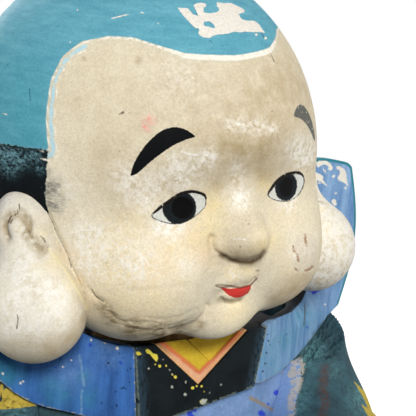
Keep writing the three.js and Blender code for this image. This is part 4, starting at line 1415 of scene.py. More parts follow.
@dataclass
class ShoulderBoards:
    """The stiff pasteboard fronts that run up into wings, and the panel behind them."""

    chest_front: float = -54.0
    thickness: float = 5.0
    rake: float = 0.48
    wing_y: float = -11.0
    wing_spread: float = 147.0
    wing_top: float = 258.0
    wing_inner: dict[Side, float] = field(default_factory=lambda: {Side.LEFT: 0.6, Side.RIGHT: 0.71})
    wing_bulge: float = 9.0
    bulge_from: float = 0.55
    turn_across: Pair = (28.0, 60.0)
    turn_up: Pair = (-18.0, 6.0)
    shoulder: float = 178.0
    hem: float = 139.0
    hem_rise: float = 25.0
    lapel_foot: float = 39.0
    lapel_head: float = 44.0
    lapel_top: float = 173.0
    lapel_low: float = 128.0
    back_y: float = 60.3
    back_flat: float = 66.0
    back_curl: float = 0.0113
    back_foot: float = 94.0
    back_nape: float = 152.0
    back_thickness: float = 4.0
    edge_round: float = 0.9

    def across(self, share: float) -> float:
        """A place between the lapel and the wing's outer edge."""
        return self.lapel_foot + share * (self.wing_spread - self.lapel_foot)

    def raked(self, x: Points) -> Points:
        """How far forward the flat of a board is."""
        slant = self.rake * np.maximum(np.abs(x) - self.lapel_head, 0.0)
        return np.minimum(self.chest_front + slant, self.wing_y)

    def front(self, x: Points, z: Points) -> Points:
        """How far forward a board's face is, where it turns up into its wing too.

        Args:
            x: Places across.
            z: Heights.

        Returns:
            One depth for each place.
        """
        side = ramp(np.abs(x) - self.lapel_head, *self.turn_across)
        rise = ramp(z - self.shoulder, *self.turn_up)
        flat = self.raked(x)
        return flat + (self.wing_y - flat) * side * rise

    def back(self, x: Points) -> Points:
        """How far back the rear panel's inner face is."""
        curl = self.back_y - self.back_curl * np.maximum(np.abs(x) - self.back_flat, 0.0) ** 2
        return np.maximum(curl, self.wing_y + self.thickness + SEAT_GAP)

    def outline(self, side: Side) -> tuple[Path, Path]:
        """The hem and the upper edge of one board, which were cut by hand and differ.

        Args:
            side: Which board.

        Returns:
            The hem and the upper edge.
        """
        a, hem, top = self.across, self.hem, self.shoulder
        foot = (a(0.96), hem + self.hem_rise)
        inner = self.wing_inner[side]
        wing = [(a(inner), top + 24), (a(inner), self.wing_top - 16), (a(inner + 0.06), self.wing_top),
                (a(0.88), self.wing_top - 1), (a(0.95), self.wing_top - 4.5)]
        high = (self.lapel_head, self.lapel_top)
        if side is Side.LEFT:
            return ([(self.lapel_foot, hem + 2), (a(0.25), hem + 1), (a(0.5), hem + 4.5), (a(0.68), hem + 10),
                     (a(0.85), hem + 17), foot],
                    [high, (a(0.25), top - 3), (a(0.45), top - 1.5), (a(0.57), top + 5), *wing])
        return ([(self.lapel_foot, self.lapel_low), (a(0.25), hem - 2.5), (a(0.42), hem + 2.5),
                 (a(0.52), hem + 8.5), (a(0.62), hem + 17), (a(0.8), hem + 21), foot],
                [high, (a(0.18), top + 1.5), (a(0.32), top + 8), (a(0.54), top + 5), *wing])

    def hem_level(self, x: Points) -> Points:
        """How high the lower hem of the two is, that far from the middle."""
        spots_at, levels = np.array(self.outline(Side.LEFT)[0]).T
        return np.interp(np.abs(x), spots_at, levels)

    def place(self, side: Side, u: Points, v: Points) -> Points:
        """Points of one board's face by their shares along its hem and up it.

        Args:
            side: Which board.
            u: Shares along the hem.
            v: Shares up the board.

        Returns:
            One point for each pair of shares.
        """
        hem, ridge = (curve(path, u) for path in self.outline(side))
        bulge = self.wing_bulge * np.sin(math.pi * v) * ramp(u, self.bulge_from, 1.0)
        x = hem[:, 0] + (ridge[:, 0] - hem[:, 0]) * v + bulge
        z = hem[:, 1] + (ridge[:, 1] - hem[:, 1]) * v
        return beside(side.value * x, self.front(x, z), z)

    def back_place(self, u: Points, v: Points) -> Points:
        """Points of the rear panel's inner face by their shares across and up.

        Args:
            u: Shares across.
            v: Shares up.

        Returns:
            One point for each pair of shares.
        """
        a = self.across
        low = [(a(0.1), self.back_foot), (a(0.5), self.back_foot + self.hem_rise),
               (a(0.96), self.hem + self.hem_rise)]
        high = [(a(0.1), self.back_nape), (a(0.5), self.shoulder - 8), (a(0.96), self.shoulder + 8)]
        rows = [[*((-x, z) for x, z in reversed(half)), (0.0, half[0][1]), *half] for half in (low, high)]
        hem, ridge = (curve(row, u) for row in rows)
        spot = hem + (ridge - hem) * v[:, None]
        return beside(spot[:, 0], self.back(spot[:, 0]), spot[:, 1])

    def marks(self, side: Side) -> Marks:
        """The masks of one board's paint: its edges and what the photograph shows on it.

        Args:
            side: Which board.

        Returns:
            What gives the masks of points by name.
        """
        steps = 60
        t, zero, one = np.linspace(0.0, 1.0, steps), np.zeros(steps), np.ones(steps)
        hem, outer = self.place(side, t, zero), self.place(side, one, t)
        ridge, inner = self.place(side, t, one), self.place(side, zero, t)
        wing = ridge[steps // 2:]
        flakes = (
            ((1190, 612), (1205, 606), (1230, 606), (1248, 618), (1256, 632), (1250, 642), (1236, 640),
             (1240, 628), (1222, 618), (1205, 628), (1196, 632)),
            ((1266, 624), (1285, 628), (1300, 640), (1306, 655), (1308, 680), (1314, 705), (1300, 690),
             (1285, 684), (1272, 676), (1275, 662), (1284, 655), (1280, 642), (1270, 636)),
            ((1183, 648), (1200, 652), (1220, 665), (1216, 676), (1228, 690), (1239, 706), (1228, 700),
             (1210, 685), (1190, 675), (1183, 672)),
            ((1217, 632), (1228, 645), (1234, 655), (1224, 652), (1216, 640)))
        chips = ((1203, 690, 5), (1258, 759, 9), (1262, 768, 7), (1266, 727, 5), (1301, 709, 5),
                 (1258, 665, 6), (442, 1312, 6), (238, 1383, 5), (78, 1444, 5), (88, 1438, 5),
                 (350, 1249, 5), (344, 1281, 4),
                 (1225, 1147, 4), (268, 1357, 4), (10, 1408, 6))
        worn = (((369, 1243), (392, 1258), (415, 1275)), ((420, 1272), (436, 1283), (446, 1293)),
                ((398, 1290), (412, 1280)))
        crease = (((300, 1340), (308, 1385), (317, 1454)), ((309, 1470), (306, 1520), (308, 1568)))
        dots = (
            (408, 1368, 6), (409, 1398, 3), (411, 1408, 3), (450, 1333, 4), (467, 1349, 4), (481, 1397, 4),
            (461, 1464, 5), (467, 1461, 4), (436, 1476, 5), (385, 1518, 5), (385, 1551, 4), (440, 1528, 5),
            (442, 1408, 3), (488, 1440, 3), (476, 1465, 3), (492, 1390, 3), (400, 1380, 3), (355, 1480, 2.5),
            (1012, 1285, 4), (1018, 1300, 3), (1005, 1330, 4), (1000, 1370, 4), (990, 1400, 4),
            (1008, 1260, 3), (1050, 1290, 2.5), (1080, 1260, 2.5))
        crack = (((1148, 1140), (1150, 1180), (1145, 1226)),)
        # Painted shade: the black gap under the far jaw, on the far board
        jaw_gap_shade = (((900, 1240), (960, 1236), (975, 1213), (1040, 1200), (1099, 1176), (1137, 1137),
                    (1160, 1086), (1128, 1050), (1040, 1110), (900, 1150)),)
        deep = ((1170, 1088, 12), (1185, 1096, 12), (1198, 1092, 8), (1158, 1234, 4), (1180, 1106, 6),
                (210, 1385, 5), (340, 1300, 6), (455, 1368, 6))
        teal = ((210, 1480, 55, 0.6), (20, 1400, 70, 0.6), (318, 1420, 26, 0.5), (330, 1500, 40, 0.4),
                (1060, 1290, 60, 0.5), (1125, 1195, 45, 0.45), (1000, 1345, 40, 0.4), (1180, 1200, 50, 0.3),
                (1040, 1400, 50, 0.3), (1290, 1050, 30, 0.4))
        pale = ((260, 1400, 80, 0.3), (420, 1330, 50, 0.3), (1220, 1120, 70, 0.35), (1060, 1350, 60, 0.35),
                (380, 1280, 40, 0.4))

        edge_half, rim_half, worn_half, crease_half, crack_half = 0.4, 1.7, 6.0, 3.0, 2.5

        def masks(p: Points, normal: Points) -> Masks:
            """One mask for each name."""
            flat, px, facing = p[:, [0, 2]], VIEW.pixels(p), VIEW.faces(p, normal)
            shown = ramp(facing, 0.0, 0.2)
            rims = {name: to_path(flat, path[:, [0, 2]]) for name, path in
                    (("hem", hem), ("outer", outer), ("wing", wing), ("inner", inner))}
            return {
                "edge": np.minimum(rims["hem"], rims["inner"]) - edge_half,
                "teal_rim": np.minimum(rims["outer"], rims["wing"]) - rim_half,
                **facing_only(
                    facing, flaked=np.minimum(patches(px, flakes), spots(px, chips)), dots=spots(px, dots),
                    worn=strokes(px, worn) - worn_half, crease=strokes(px, crease) - crease_half,
                    crack=strokes(px, crack) - crack_half, deep=spots(px, deep)),
                "gap": kept_to(p[:, 0] > 0, patches(px, jaw_gap_shade)),
                "teal": shown * dabbed(px, teal), "pale": shown * dabbed(px, pale),
            }

        return masks

    def build(self, finishes: Finishes, room: Object) -> list[Object]:
        """Builds both boards and the rear panel.

        Args:
            finishes: Materials by the name of the finish.
            room: The solid of the room that the head needs.

        Returns:
            The pieces.
        """
        pieces = []
        for side in Side:
            bm = sheet(150, 90, lambda u, v, side=side: self.place(side, u, v), self.thickness)
            round_edges(bm, self.edge_round)
            name, finish = (f"{side.name.lower()}_{kind}" for kind in ("shoulder_board", "board"))
            bm = hollow_out(bm, room)
            pieces.append(make_piece(
                bm, f"painted_{name}", Body.TORSO, "board", name, finishes[finish], self.marks(side)))
        bm = sheet(120, 24, self.back_place, self.back_thickness)
        round_edges(bm, self.edge_round)
        panel, finish = hollow_out(bm, room), finishes["back_board"]
        return [*pieces, make_piece(panel, "painted_back_board", Body.TORSO, "board", "back_board", finish)]


@dataclass
class Collars:
    """The layered collars on the flat of the chest: black over orange over yellow."""

    boards: ShoulderBoards
    top: float = 172.0
    spread: float = 31.0
    cross: Pair = (-17.0, 130.2)
    left_foot: Pair = (38.7, 139.0)
    lapel_head: Pair = (43.6, 172.0)
    right_foot: Pair = (-37.1, 128.0)
    outer_tip: Pair = (0.0, 145.3)
    middle_tip: Pair = (7.5, 156.5)
    middle_half: float = 18.5
    outer_thickness: float = 5.0
    middle_thickness: float = 3.5
    under_thickness: float = 2.0
    lining: float = 16.0
    tip_share: float = 0.02
    edge_round: float = 0.5
    border_half: float = 0.9
    band_half: float = 8.0
    fringe_width: float = 9.0
    shade_inset: float = 4.0

    def face(self, flat: Points, thickness: float) -> Points:
        """Flat points laid on the chest, that thickness in front of it."""
        y = np.full(len(flat), self.boards.chest_front + self.boards.thickness - thickness)
        return beside(flat[:, 0], y, flat[:, 1])

    def between(self, first: Path, second: Path, u: Points, v: Points) -> Points:
        """Points between two bent lines, each with evenly shared parts.

        Args:
            first: One line.
            second: The other line.
            u: Shares along the lines.
            v: Shares from the first to the second.

        Returns:
            One point for each pair of shares.
        """
        lines = []
        for line in (first, second):
            knots = np.array(line, float)
            spots_at = np.linspace(0.0, 1.0, len(knots))
            lines.append(beside(*(np.interp(v, spots_at, column) for column in knots.T)))
        return lines[0] + (lines[1] - lines[0]) * u[:, None]

    def left(self, u: Points, v: Points) -> Points:
        """Points of the left lapel's face."""
        inner, outer = (self.cross, (self.spread, self.top)), (self.left_foot, self.lapel_head)
        return self.face(self.between(inner, outer, u, v), self.outer_thickness)

    def right(self, u: Points, v: Points) -> Points:
        """Points of the right lapel's face, which passes under the left one.

        Args:
            u: Shares along it.
            v: Shares across it.

        Returns:
            One point for each pair of shares.
        """
        head_x, head_z = self.lapel_head
        inner = (self.cross, self.outer_tip, (-self.spread, self.top))
        outer = (self.right_foot, (-head_x, head_z))
        return self.face(self.between(outer, inner, u, v), self.outer_thickness)

    def middle(self, u: Points, v: Points) -> Points:
        """Points of the orange band's face: a V, from outside to inside.

        Args:
            u: Shares along it.
            v: Shares across it.

        Returns:
            One point for each pair of shares.
        """
        half, tip_x = self.spread - SEAT_GAP, self.middle_tip[0]
        tip = (self.outer_tip[0], self.outer_tip[1] + SEAT_GAP)
        low = ((-half, self.top), tip, (half, self.top))
        high = ((tip_x - self.middle_half, self.top), self.middle_tip, (tip_x + self.middle_half, self.top))
        return self.face(self.between(low, high, v, u), self.middle_thickness)

    def under(self, u: Points, v: Points) -> Points:
        """Points of the yellow fill's face: a triangle that stands on its tip.

        Args:
            u: Shares along it.
            v: Shares across it.

        Returns:
            One point for each pair of shares.
        """
        tip_x, tip_z = self.middle_tip
        share = self.tip_share + (1.0 - self.tip_share) * v
        rise = (self.top - tip_z - 2 * SEAT_GAP) * share
        half = (self.middle_half - SEAT_GAP) * rise / (self.top - tip_z)
        flat = beside(tip_x + (2.0 * u - 1.0) * half, tip_z + 2 * SEAT_GAP + rise)
        return self.face(flat, self.under_thickness)

    def marks(self, p: Points, normal: Points) -> Masks:
        """The masks of the collars' paint: chips, borders, worn edges, and painted shade under the chin and
        in the gap under the far jaw.

        Args:
            p: Points, one row each.
            normal: The surface's direction at each point.

        Returns:
            The masks by name.
        """
        px, flat = VIEW.pixels(p), p[:, [0, 2]]
        chips = (
            ((513, 1328), (522, 1324), (530, 1330), (536, 1334), (530, 1338), (520, 1340), (514, 1336)),
            ((548, 1318), (556, 1315), (566, 1320), (572, 1328), (580, 1333), (592, 1336), (597, 1350),
             (590, 1364), (582, 1356), (574, 1346), (566, 1336), (552, 1330)))
        flecks = ((585, 1373, 3), (602, 1380, 6), (626, 1378, 4), (661, 1421, 6), (726, 1462, 6),
                  (742, 1455, 4), (650, 1412, 3), (770, 1476, 3), (756, 1513, 4), (760, 1456, 5))
        pale = ((765, 1515, 10), (775, 1510, 6), (648, 1458, 4), (697, 1486, 5), (832, 1450, 4),
                (650, 1412, 4), (560, 1390, 3), (615, 1355, 3), (790, 1480, 3), (700, 1440, 3),
                (640, 1395, 3))
        # Painted shade: the black gap under the far jaw, on the collars
        jaw_gap_shade = (((890, 1180), (1010, 1180), (1006, 1232), (960, 1242), (890, 1236)),)
        edge = ((606, 1286), (750, 1404), (904, 1252))
        yellow = ((*edge, (904, 1150), (606, 1150)),)
        outer = ((-self.spread, self.top), self.outer_tip, (self.spread, self.top))
        head_x, head_z = self.lapel_head
        sides = strokes(flat, ((self.left_foot, (head_x, head_z)), (self.right_foot, (-head_x, head_z))))
        foot = to_path(flat, (self.right_foot, self.cross, self.left_foot))
        shade = (self.middle_tip[1] + self.shade_inset, self.top - self.shade_inset)
        return {
            **facing_only(
                VIEW.faces(p, normal), chips=np.minimum(patches(px, chips), spots(px, flecks)),
                pale=spots(px, pale), field=patches(px, yellow), inner=strokes(px, (edge,)) - self.band_half),
            "gap": VIEW.pixel * patches(px, jaw_gap_shade),
            "outer": to_path(flat, outer) - self.border_half,
            "border": np.minimum(sides, foot) - self.border_half,
            "fringe": 1.0 - ramp(sides, 0.0, self.fringe_width),
            "shade": ramp(p[:, 2], *shade),
        }

    def build(self, finishes: Finishes, room: Object) -> list[Object]:
        """Builds the four collar pieces.

        Args:
            finishes: Materials by the name of the finish.
            room: The solid of the room that the head needs.

        Returns:
            The pieces.
        """
        plans = (
            ("left_outer_collar", self.left, "black_collar"),
            ("right_outer_collar", self.right, "black_collar"),
            ("middle_collar", self.middle, "orange_collar"),
            ("under_collar", self.under, "yellow_collar"),
        )
        pieces = []
        for name, place, slot in plans:
            bm = sheet(80, 64, place, self.lining)
            round_edges(bm, self.edge_round)
            bm = hollow_out(bm, room)
            pieces.append(make_piece(
                bm, f"painted_{name}", Body.TORSO, slot, name, finishes[slot], self.marks))
        return pieces


@dataclass
class Torso:
    """The moulded chest and the pleated trousers over the folded legs, each in two halves."""

    boards: ShoulderBoards
    head: Head
    chest_low: Place = (-90.0, -54.0, 56.0)
    chest_high: Place = (90.0, 60.0, 158.0)
    chest_round: float = 40.0
    chest_middle: Place = (0.0, 6.0, 112.0)
    yoke_low: Place = (-80.0, -52.0, 102.0)
    yoke_high: Place = (80.0, 16.0, 170.0)
    yoke_round: float = 16.0
    yoke_fillet: float = 10.0
    # Where the black painted shade in the neck reaches
    dark_above: float = 158.0
    dark_reach: float = 1.2
    dark_behind: float = -15.0
    dark_from: float = 480.0
    lap_width: float = 256.0
    lap_depth: float = 244.0
    lap_y: float = 10.0
    lap_top: float = 84.0
    lap_core: float = 18.0
    lap_middle: Place = (0.0, -10.0, 30.0)
    thigh: Bar = ((52, 20, 44), (64, -98, 37), 42, 40)
    thigh_fillet: float = 40.0
    pleats: float = 5.0
    pleat_depth: float = 2.2
    pleat_width: float = 0.16
    pleat_rise: float = 0.35
    pleat_fade: Pair = (10.0, 80.0)
    low_void: Zone = (6.0, 73.0, 60.0, 46.0)
    high_void: Zone = (60.0, 200.0, 50.0, 18.0)
    void_taper: float = 0.86

    def chest_form(self, p: Points) -> Points:
        """A boxy chest whose front lies close behind the boards and the collars.

        Args:
            p: Points, one row each.

        Returns:
            One distance for each point.
        """
        box = rounded_box(p, self.chest_low, self.chest_high, self.chest_round)
        yoke = rounded_box(p, self.yoke_low, self.yoke_high, self.yoke_round)
        behind = self.boards.front(p[..., 0], p[..., 2]) + self.boards.thickness + SEAT_GAP - p[..., 1]
        return np.maximum(join(box, yoke, self.yoke_fillet), behind)

    def lap_form(self, p: Points) -> Points:
        """Trousers spread over folded legs, with pleats down their front.

        Args:
            p: Points, one row each.

        Returns:
            One distance for each point.
        """
        radii = (self.lap_width / 2, self.lap_depth / 2, self.lap_top - self.lap_core)
        d = ellipsoid(p, (0, self.lap_y, self.lap_core), radii)
        d = join(d, capsule(mirrored(p), *self.thigh), self.thigh_fillet)
        phase = self.pleats * p[..., 0] / self.lap_width * 2.0
        fold = 2.0 * np.abs(phase / 2.0 - np.floor(phase / 2.0 + 0.5))
        frontness = ramp(-p[..., 1], *self.pleat_fade)
        return d + self.pleat_depth * frontness * (glow(fold, self.pleat_width) - self.pleat_rise)

    def works_void(self, size: Zone) -> Object:
        """One part of the hollow that the stem and its weight swing in: foot, top and half axes.

        Args:
            size: Its foot, top and half axes.

        Returns:
            The solid to take out.
        """
        foot, top, wide, deep = size
        bm = bmesh.new()
        bmesh.ops.create_cone(
            bm, cap_ends=True, segments=72, radius1=1.0, radius2=self.void_taper, depth=top - foot)
        bmesh.ops.scale(bm, verts=bm.verts, vec=(wide, deep, 1.0))
        bmesh.ops.translate(bm, verts=bm.verts, vec=(0, LEAN.pivot_y, (foot + top) / 2))
        return new_object(bm, "works_void")

    def marks(self, p: Points, normal: Points) -> Masks:
        """The masks of the chest's paint: black painted shade in the neck, dabs, a stripe and a worn strip.

        Args:
            p: Points, one row each.
            normal: The surface's direction at each point.

        Returns:
            The masks by name.
        """
        px = VIEW.pixels(p)
        dabs = ((1040, 1481, 10), (1044, 1474, 6), (1011, 1524, 6), (984, 1557, 12), (994, 1562, 8),
                (1062, 1565, 8), (715, 1558, 11), (735, 1547, 7), (690, 1549, 7), (722, 1568, 9),
                (600, 1566, 8))
        stripe_half = 7.0
        stripe = (((944, 1500), (968, 1512), (993, 1526), (1020, 1541), (1050, 1553), (1085, 1566)),)
        strip = (((1058, 1408), (1085, 1385), (1110, 1366), (1130, 1345), (1150, 1365), (1130, 1450),
                  (1110, 1500), (1110, 1580), (1080, 1580), (1082, 1500), (1092, 1450), (1075, 1420)),)
        flank = (((-60, 1440), (150, 1530), (230, 1536), (272, 1550), (300, 1575), (330, 1640), (420, 1900),
                  (-60, 1900)),)
        # Painted shade in the neck: black on the faces cut by the head's room, and in front on the far side
        # also on the chest's top
        room, top = self.head.room(p) - self.dark_reach, self.dark_above - p[:, 2]
        before = np.where(px[:, 0] > self.dark_from, np.minimum(room, top), FAR)
        return {
            "throat": np.where(p[:, 1] > self.dark_behind, room, before),
            **facing_only(
                VIEW.faces(p, normal), dabs=spots(px, dabs), stripe=strokes(px, stripe) - stripe_half,
                strip=patches(px, strip), flank=patches(px, flank)),
        }

    def build(self, finishes: Finishes, room: Object) -> list[Object]:
        """Builds the chest and the trousers.

        Args:
            finishes: Materials by the name of the finish.
            room: The solid of the room that the head needs.

        Returns:
            The pieces.
        """
        voids = [self.works_void(size) for size in (self.low_void, self.high_void)]
        chest = wrap(self.chest_form, self.chest_middle, 7)
        lap = wrap(self.lap_form, self.lap_middle, 7)
        cut(lap, (0, 0, TABLE_TOP), (0, 0, 1))
        for tool in (room, *voids):
            chest = hollow_out(chest, tool)
        for tool in voids:
            lap = hollow_out(lap, tool)
        for void in voids:
            bpy.data.objects.remove(void)
        pieces = []
        plans = ((chest, "chest_shell", "back_shell", "robe", self.marks),
                 (lap, "hakama_front", "hakama_back", "hakama", None))
        for whole, front, back, slot, marks in plans:
            other = whole.copy()
            for bm, name, way in ((whole, front, -1.0), (other, back, 1.0)):
                cut(bm, (0, SEAM_Y, 0), (0, way, 0))
                pieces.append(make_piece(
                    bm, f"painted_{name}", Body.TORSO, slot, name, finishes[name], marks))
        return pieces


@dataclass
class Arms:
    """Wide sleeves that hang from under the boards, and loose fists on the thighs."""

    boards: ShoulderBoards
    upper_arm: Bar = ((107, -8, 152), (112, -9, 100), 32, 39)
    bag: Lump = Lump((150, 0, 42), (57, 48, 58), 10)
    forearm: Bar = ((112, -30, 88), (70, -80, 92), 38, 25)
    forearm_fillet: float = 26.0
    sleeve_middle: Place = (120, -10, 84)
    setback: float = 4.0
    belly: float = 60.0
    belly_drop: float = 14.0
    fold_depth: float = 1.1
    fold_waves: Place = (0.11, 0.02, -0.055)
    fold_levels: Pair = (120.0, 60.0)
    back_inset: float = 1.5
    back_levels: Pair = (150.0, 100.0)
    hand_middle: Place = (52, -103, 83)
    palm: Lump = Lump((52, -96, 84), (21, 26, 14))
    finger: Bar = ((52, -108, 89), (52, -121, 80), 6, 5.2)
    finger_pitch: float = 9.4
    finger_fillet: float = 2.0
    thumb: Bar = ((35, -92, 86), (30, -108, 84), 6.5, 5.5)
    thumb_fillet: float = 3.0
    rust_width: float = 16.0
    leaves_wrap: float = -0.3

    def sleeve_form(self, p: Points) -> Points:
        """One sleeve: upper arm, hanging bag and forearm, flat behind the board.

        Args:
            p: Points, one row each.

        Returns:
            One distance for each point.
        """
        d = self.bag.added(capsule(p, *self.upper_arm), p)
        d = join(d, capsule(p, *self.forearm), self.forearm_fillet)
        x, y, z = p[..., 0], p[..., 1], p[..., 2]
        below = self.boards.hem_level(x) - z
        loose = self.belly * ramp(below, 0.0, self.belly_drop)
        d = np.maximum(d, self.boards.front(x, z) + self.setback - loose - y)
        folds = self.fold_depth * np.sin(p @ np.array(self.fold_waves)) * ramp(z, *self.fold_levels)
        behind = y - self.boards.back(x) + self.back_inset - self.belly * ramp(z, *self.back_levels)
        return np.maximum(d + folds, behind)

    def sleeve_marks(self, p: Points, normal: Points) -> Masks:
        """The masks of the sleeves' paint: yellow leaves, rusty streaks and rubbed places.

        Args:
            p: Points, one row each.
            normal: The surface's direction at each point.

        Returns:
            The masks by name.
        """
        px, facing = VIEW.pixels(p), VIEW.faces(p, normal)
        shown = ramp(facing, 0.0, 0.2)
        leaves = (
            ((-20, 1425), (0, 1439), (45, 1470), (88, 1497), (148, 1528), (100, 1534), (58, 1539),
             (-20, 1545)),
            ((1334, 1438), (1350, 1452), (1378, 1478), (1410, 1512), (1470, 1585), (1448, 1585), (1400, 1524),
             (1384, 1534), (1374, 1505), (1352, 1470)),
            ((1362, 1524), (1388, 1540), (1382, 1522), (1412, 1532), (1450, 1580), (1400, 1590),
             (1376, 1548)))
        bare = (((1040, 1374), (1090, 1366), (1140, 1345), (1131, 1440), (1112, 1530), (1106, 1600),
                 (990, 1600), (1024, 1471)),)
        strip = (((1092, 1364), (1140, 1345), (1150, 1365), (1138, 1450), (1118, 1500), (1114, 1600),
                  (1084, 1600), (1086, 1500), (1100, 1450), (1082, 1420)),)
        rust = ((1226, 1390), (1216, 1450), (1226, 1520), (1212, 1580))
        rubbed = ((1165, 1290, 40, 0.8), (1150, 1350, 40, 0.6), (1190, 1330, 40, 0.5), (1125, 1480, 40, 0.5),
                  (1120, 1550, 40, 0.6), (1260, 1400, 40, 0.3), (1380, 1500, 60, 0.8), (60, 1560, 60, 0.5))
        return {
            "leaves": kept_to(facing > self.leaves_wrap, patches(px, leaves)),
            "rust": shown * glow(to_path(px, rust), self.rust_width),
            "rubbed": shown * dabbed(px, rubbed),
            **facing_only(facing, bare=patches(px, bare), strip=patches(px, strip)),
        }

    def hand_form(self, p: Points) -> Points:
        """One loose fist, knuckles forward.

        Args:
            p: Points, one row each.

        Returns:
            One distance for each point.
        """
        d = self.palm.alone(p)
        for step in (-1.5, -0.5, 0.5, 1.5):
            finger = capsule(p - np.array([step * self.finger_pitch, 0.0, 0.0]), *self.finger)
            d = join(d, finger, self.finger_fillet)
        return join(d, capsule(p, *self.thumb), self.thumb_fillet)

    def build(self, finishes: Finishes) -> list[Object]:
        """Builds both sleeves and both hands.

        Args:
            finishes: Materials by the name of the finish.

        Returns:
            The pieces.
        """
        plans = (
            ("sleeve", self.sleeve_form, self.sleeve_middle, 7, 1.0, "sleeve", self.sleeve_marks),
            ("hand", self.hand_form, self.hand_middle, 6, 1.2, "skin", None),
        )
        pieces = []
        for side in Side:
            for kind, form, centre, level, focus, slot, marks in plans:
                bm = wrap(form, centre, level, focus)
                put_on(bm, side)
                cut(bm, (0, 0, TABLE_TOP), (0, 0, 1))
                name = f"{side.name.lower()}_{kind}"
                pieces.append(make_piece(
                    bm, f"painted_{name}", Body.TORSO, slot, name, finishes[kind], marks))
        return pieces


@dataclass(frozen=True)
class Lamp:
    """A round soft lamp that looks at the figure. Angles in degrees, from the front and from level."""

    name: str
    azimuth: float
    elevation: float
    size: float
    strength: float


@dataclass
class Studio:
    """A white floor that merges with the background, and soft lamps round the figure. Sizes in metres."""

    sky: float = 0.09
    lamp_distance: float = 1.7
    floor_size: float = 0.9
    floor_lift: float = 1.0
    aim: Place = (0.0, 0.0, 0.22)
    lamps: tuple[Lamp, ...] = (
        Lamp("key_light", -29, 29, 0.45, 2.65), Lamp("left_light", 48, 12, 0.8, 1.25),
        Lamp("right_light", -115, 10, 0.8, 0.9), Lamp("back_light", 165, 25, 1.0, 2.6))

    def build(self) -> None:
        """Builds the floor, the lamps and the world."""
        bm = bmesh.new()
        bmesh.ops.create_circle(bm, cap_ends=True, segments=96, radius=self.floor_size)
        floor = new_object(bm, "floor")
        floor.data.materials.append(self.floor_finish())
        for lamp in self.lamps:
            data = bpy.data.lights.new(lamp.name, "AREA")
            data.shape = "DISK"
            data.size = lamp.size
            data.energy = lamp.strength * math.pi * self.lamp_distance ** 2
            turn = Matrix.Rotation(math.radians(lamp.azimuth), 4, "Z")
            rise = Matrix.Rotation(math.radians(90 - lamp.elevation), 4, "X")
            away = Matrix.Translation((0, 0, self.lamp_distance))
            light = bpy.data.objects.new(lamp.name, data)
            light.matrix_world = Matrix.Translation(self.aim) @ (turn @ rise) @ away
            bpy.context.scene.collection.objects.link(light)
        self.light_world()

    def direct_rays(self, tree: NodeTree) -> NodeSocket:
        """Is 1 for rays that show the background itself, straight or in a gloss.

        Args:
            tree: The tree to add nodes to.

        Returns:
            The socket that gives it.
        """
        shown = add_node(tree, "LightPath")
        rays = shown.node.outputs
        for kind in ("Is Glossy Ray", "Is Transmission Ray"):
            shown = add_node(tree, "Math", {0: shown, 1: rays[kind]}, operation="MAXIMUM")
        return shown

    def floor_finish(self) -> Material:
        """White card: matt, and bright enough to the camera to merge with the background.

        Returns:
            The material.
        """
        material, tree = new_tree("white_card")
        lift = add_node(tree, "Math", {0: self.direct_rays(tree), 1: self.floor_lift},
                        operation="MULTIPLY")
        shader = add_node(tree, "BsdfPrincipled", {
            "Base Color": linear("#7d7c7a"), "Roughness": 1.0, "Specular IOR Level": 0.0,
            "Emission Color": linear("#ffffff"), "Emission Strength": lift})
        add_node(tree, "OutputMaterial", {0: shader})
        return material

    def light_world(self) -> None:
        """A white background and a soft light from all sides."""
        world = bpy.data.worlds.new("white_room")
        world.use_nodes = True
        tree = world.node_tree
        tree.nodes.clear()
        strength = add_node(tree, "MapRange", {0: self.direct_rays(tree), 3: self.sky, 4: 1.0})
        light = add_node(tree, "Background", {0: linear("#ffffff"), 1: strength})
        add_node(tree, "OutputWorld", {0: light})
        bpy.context.scene.world = world
        bpy.context.scene.view_settings.view_transform = "Standard"


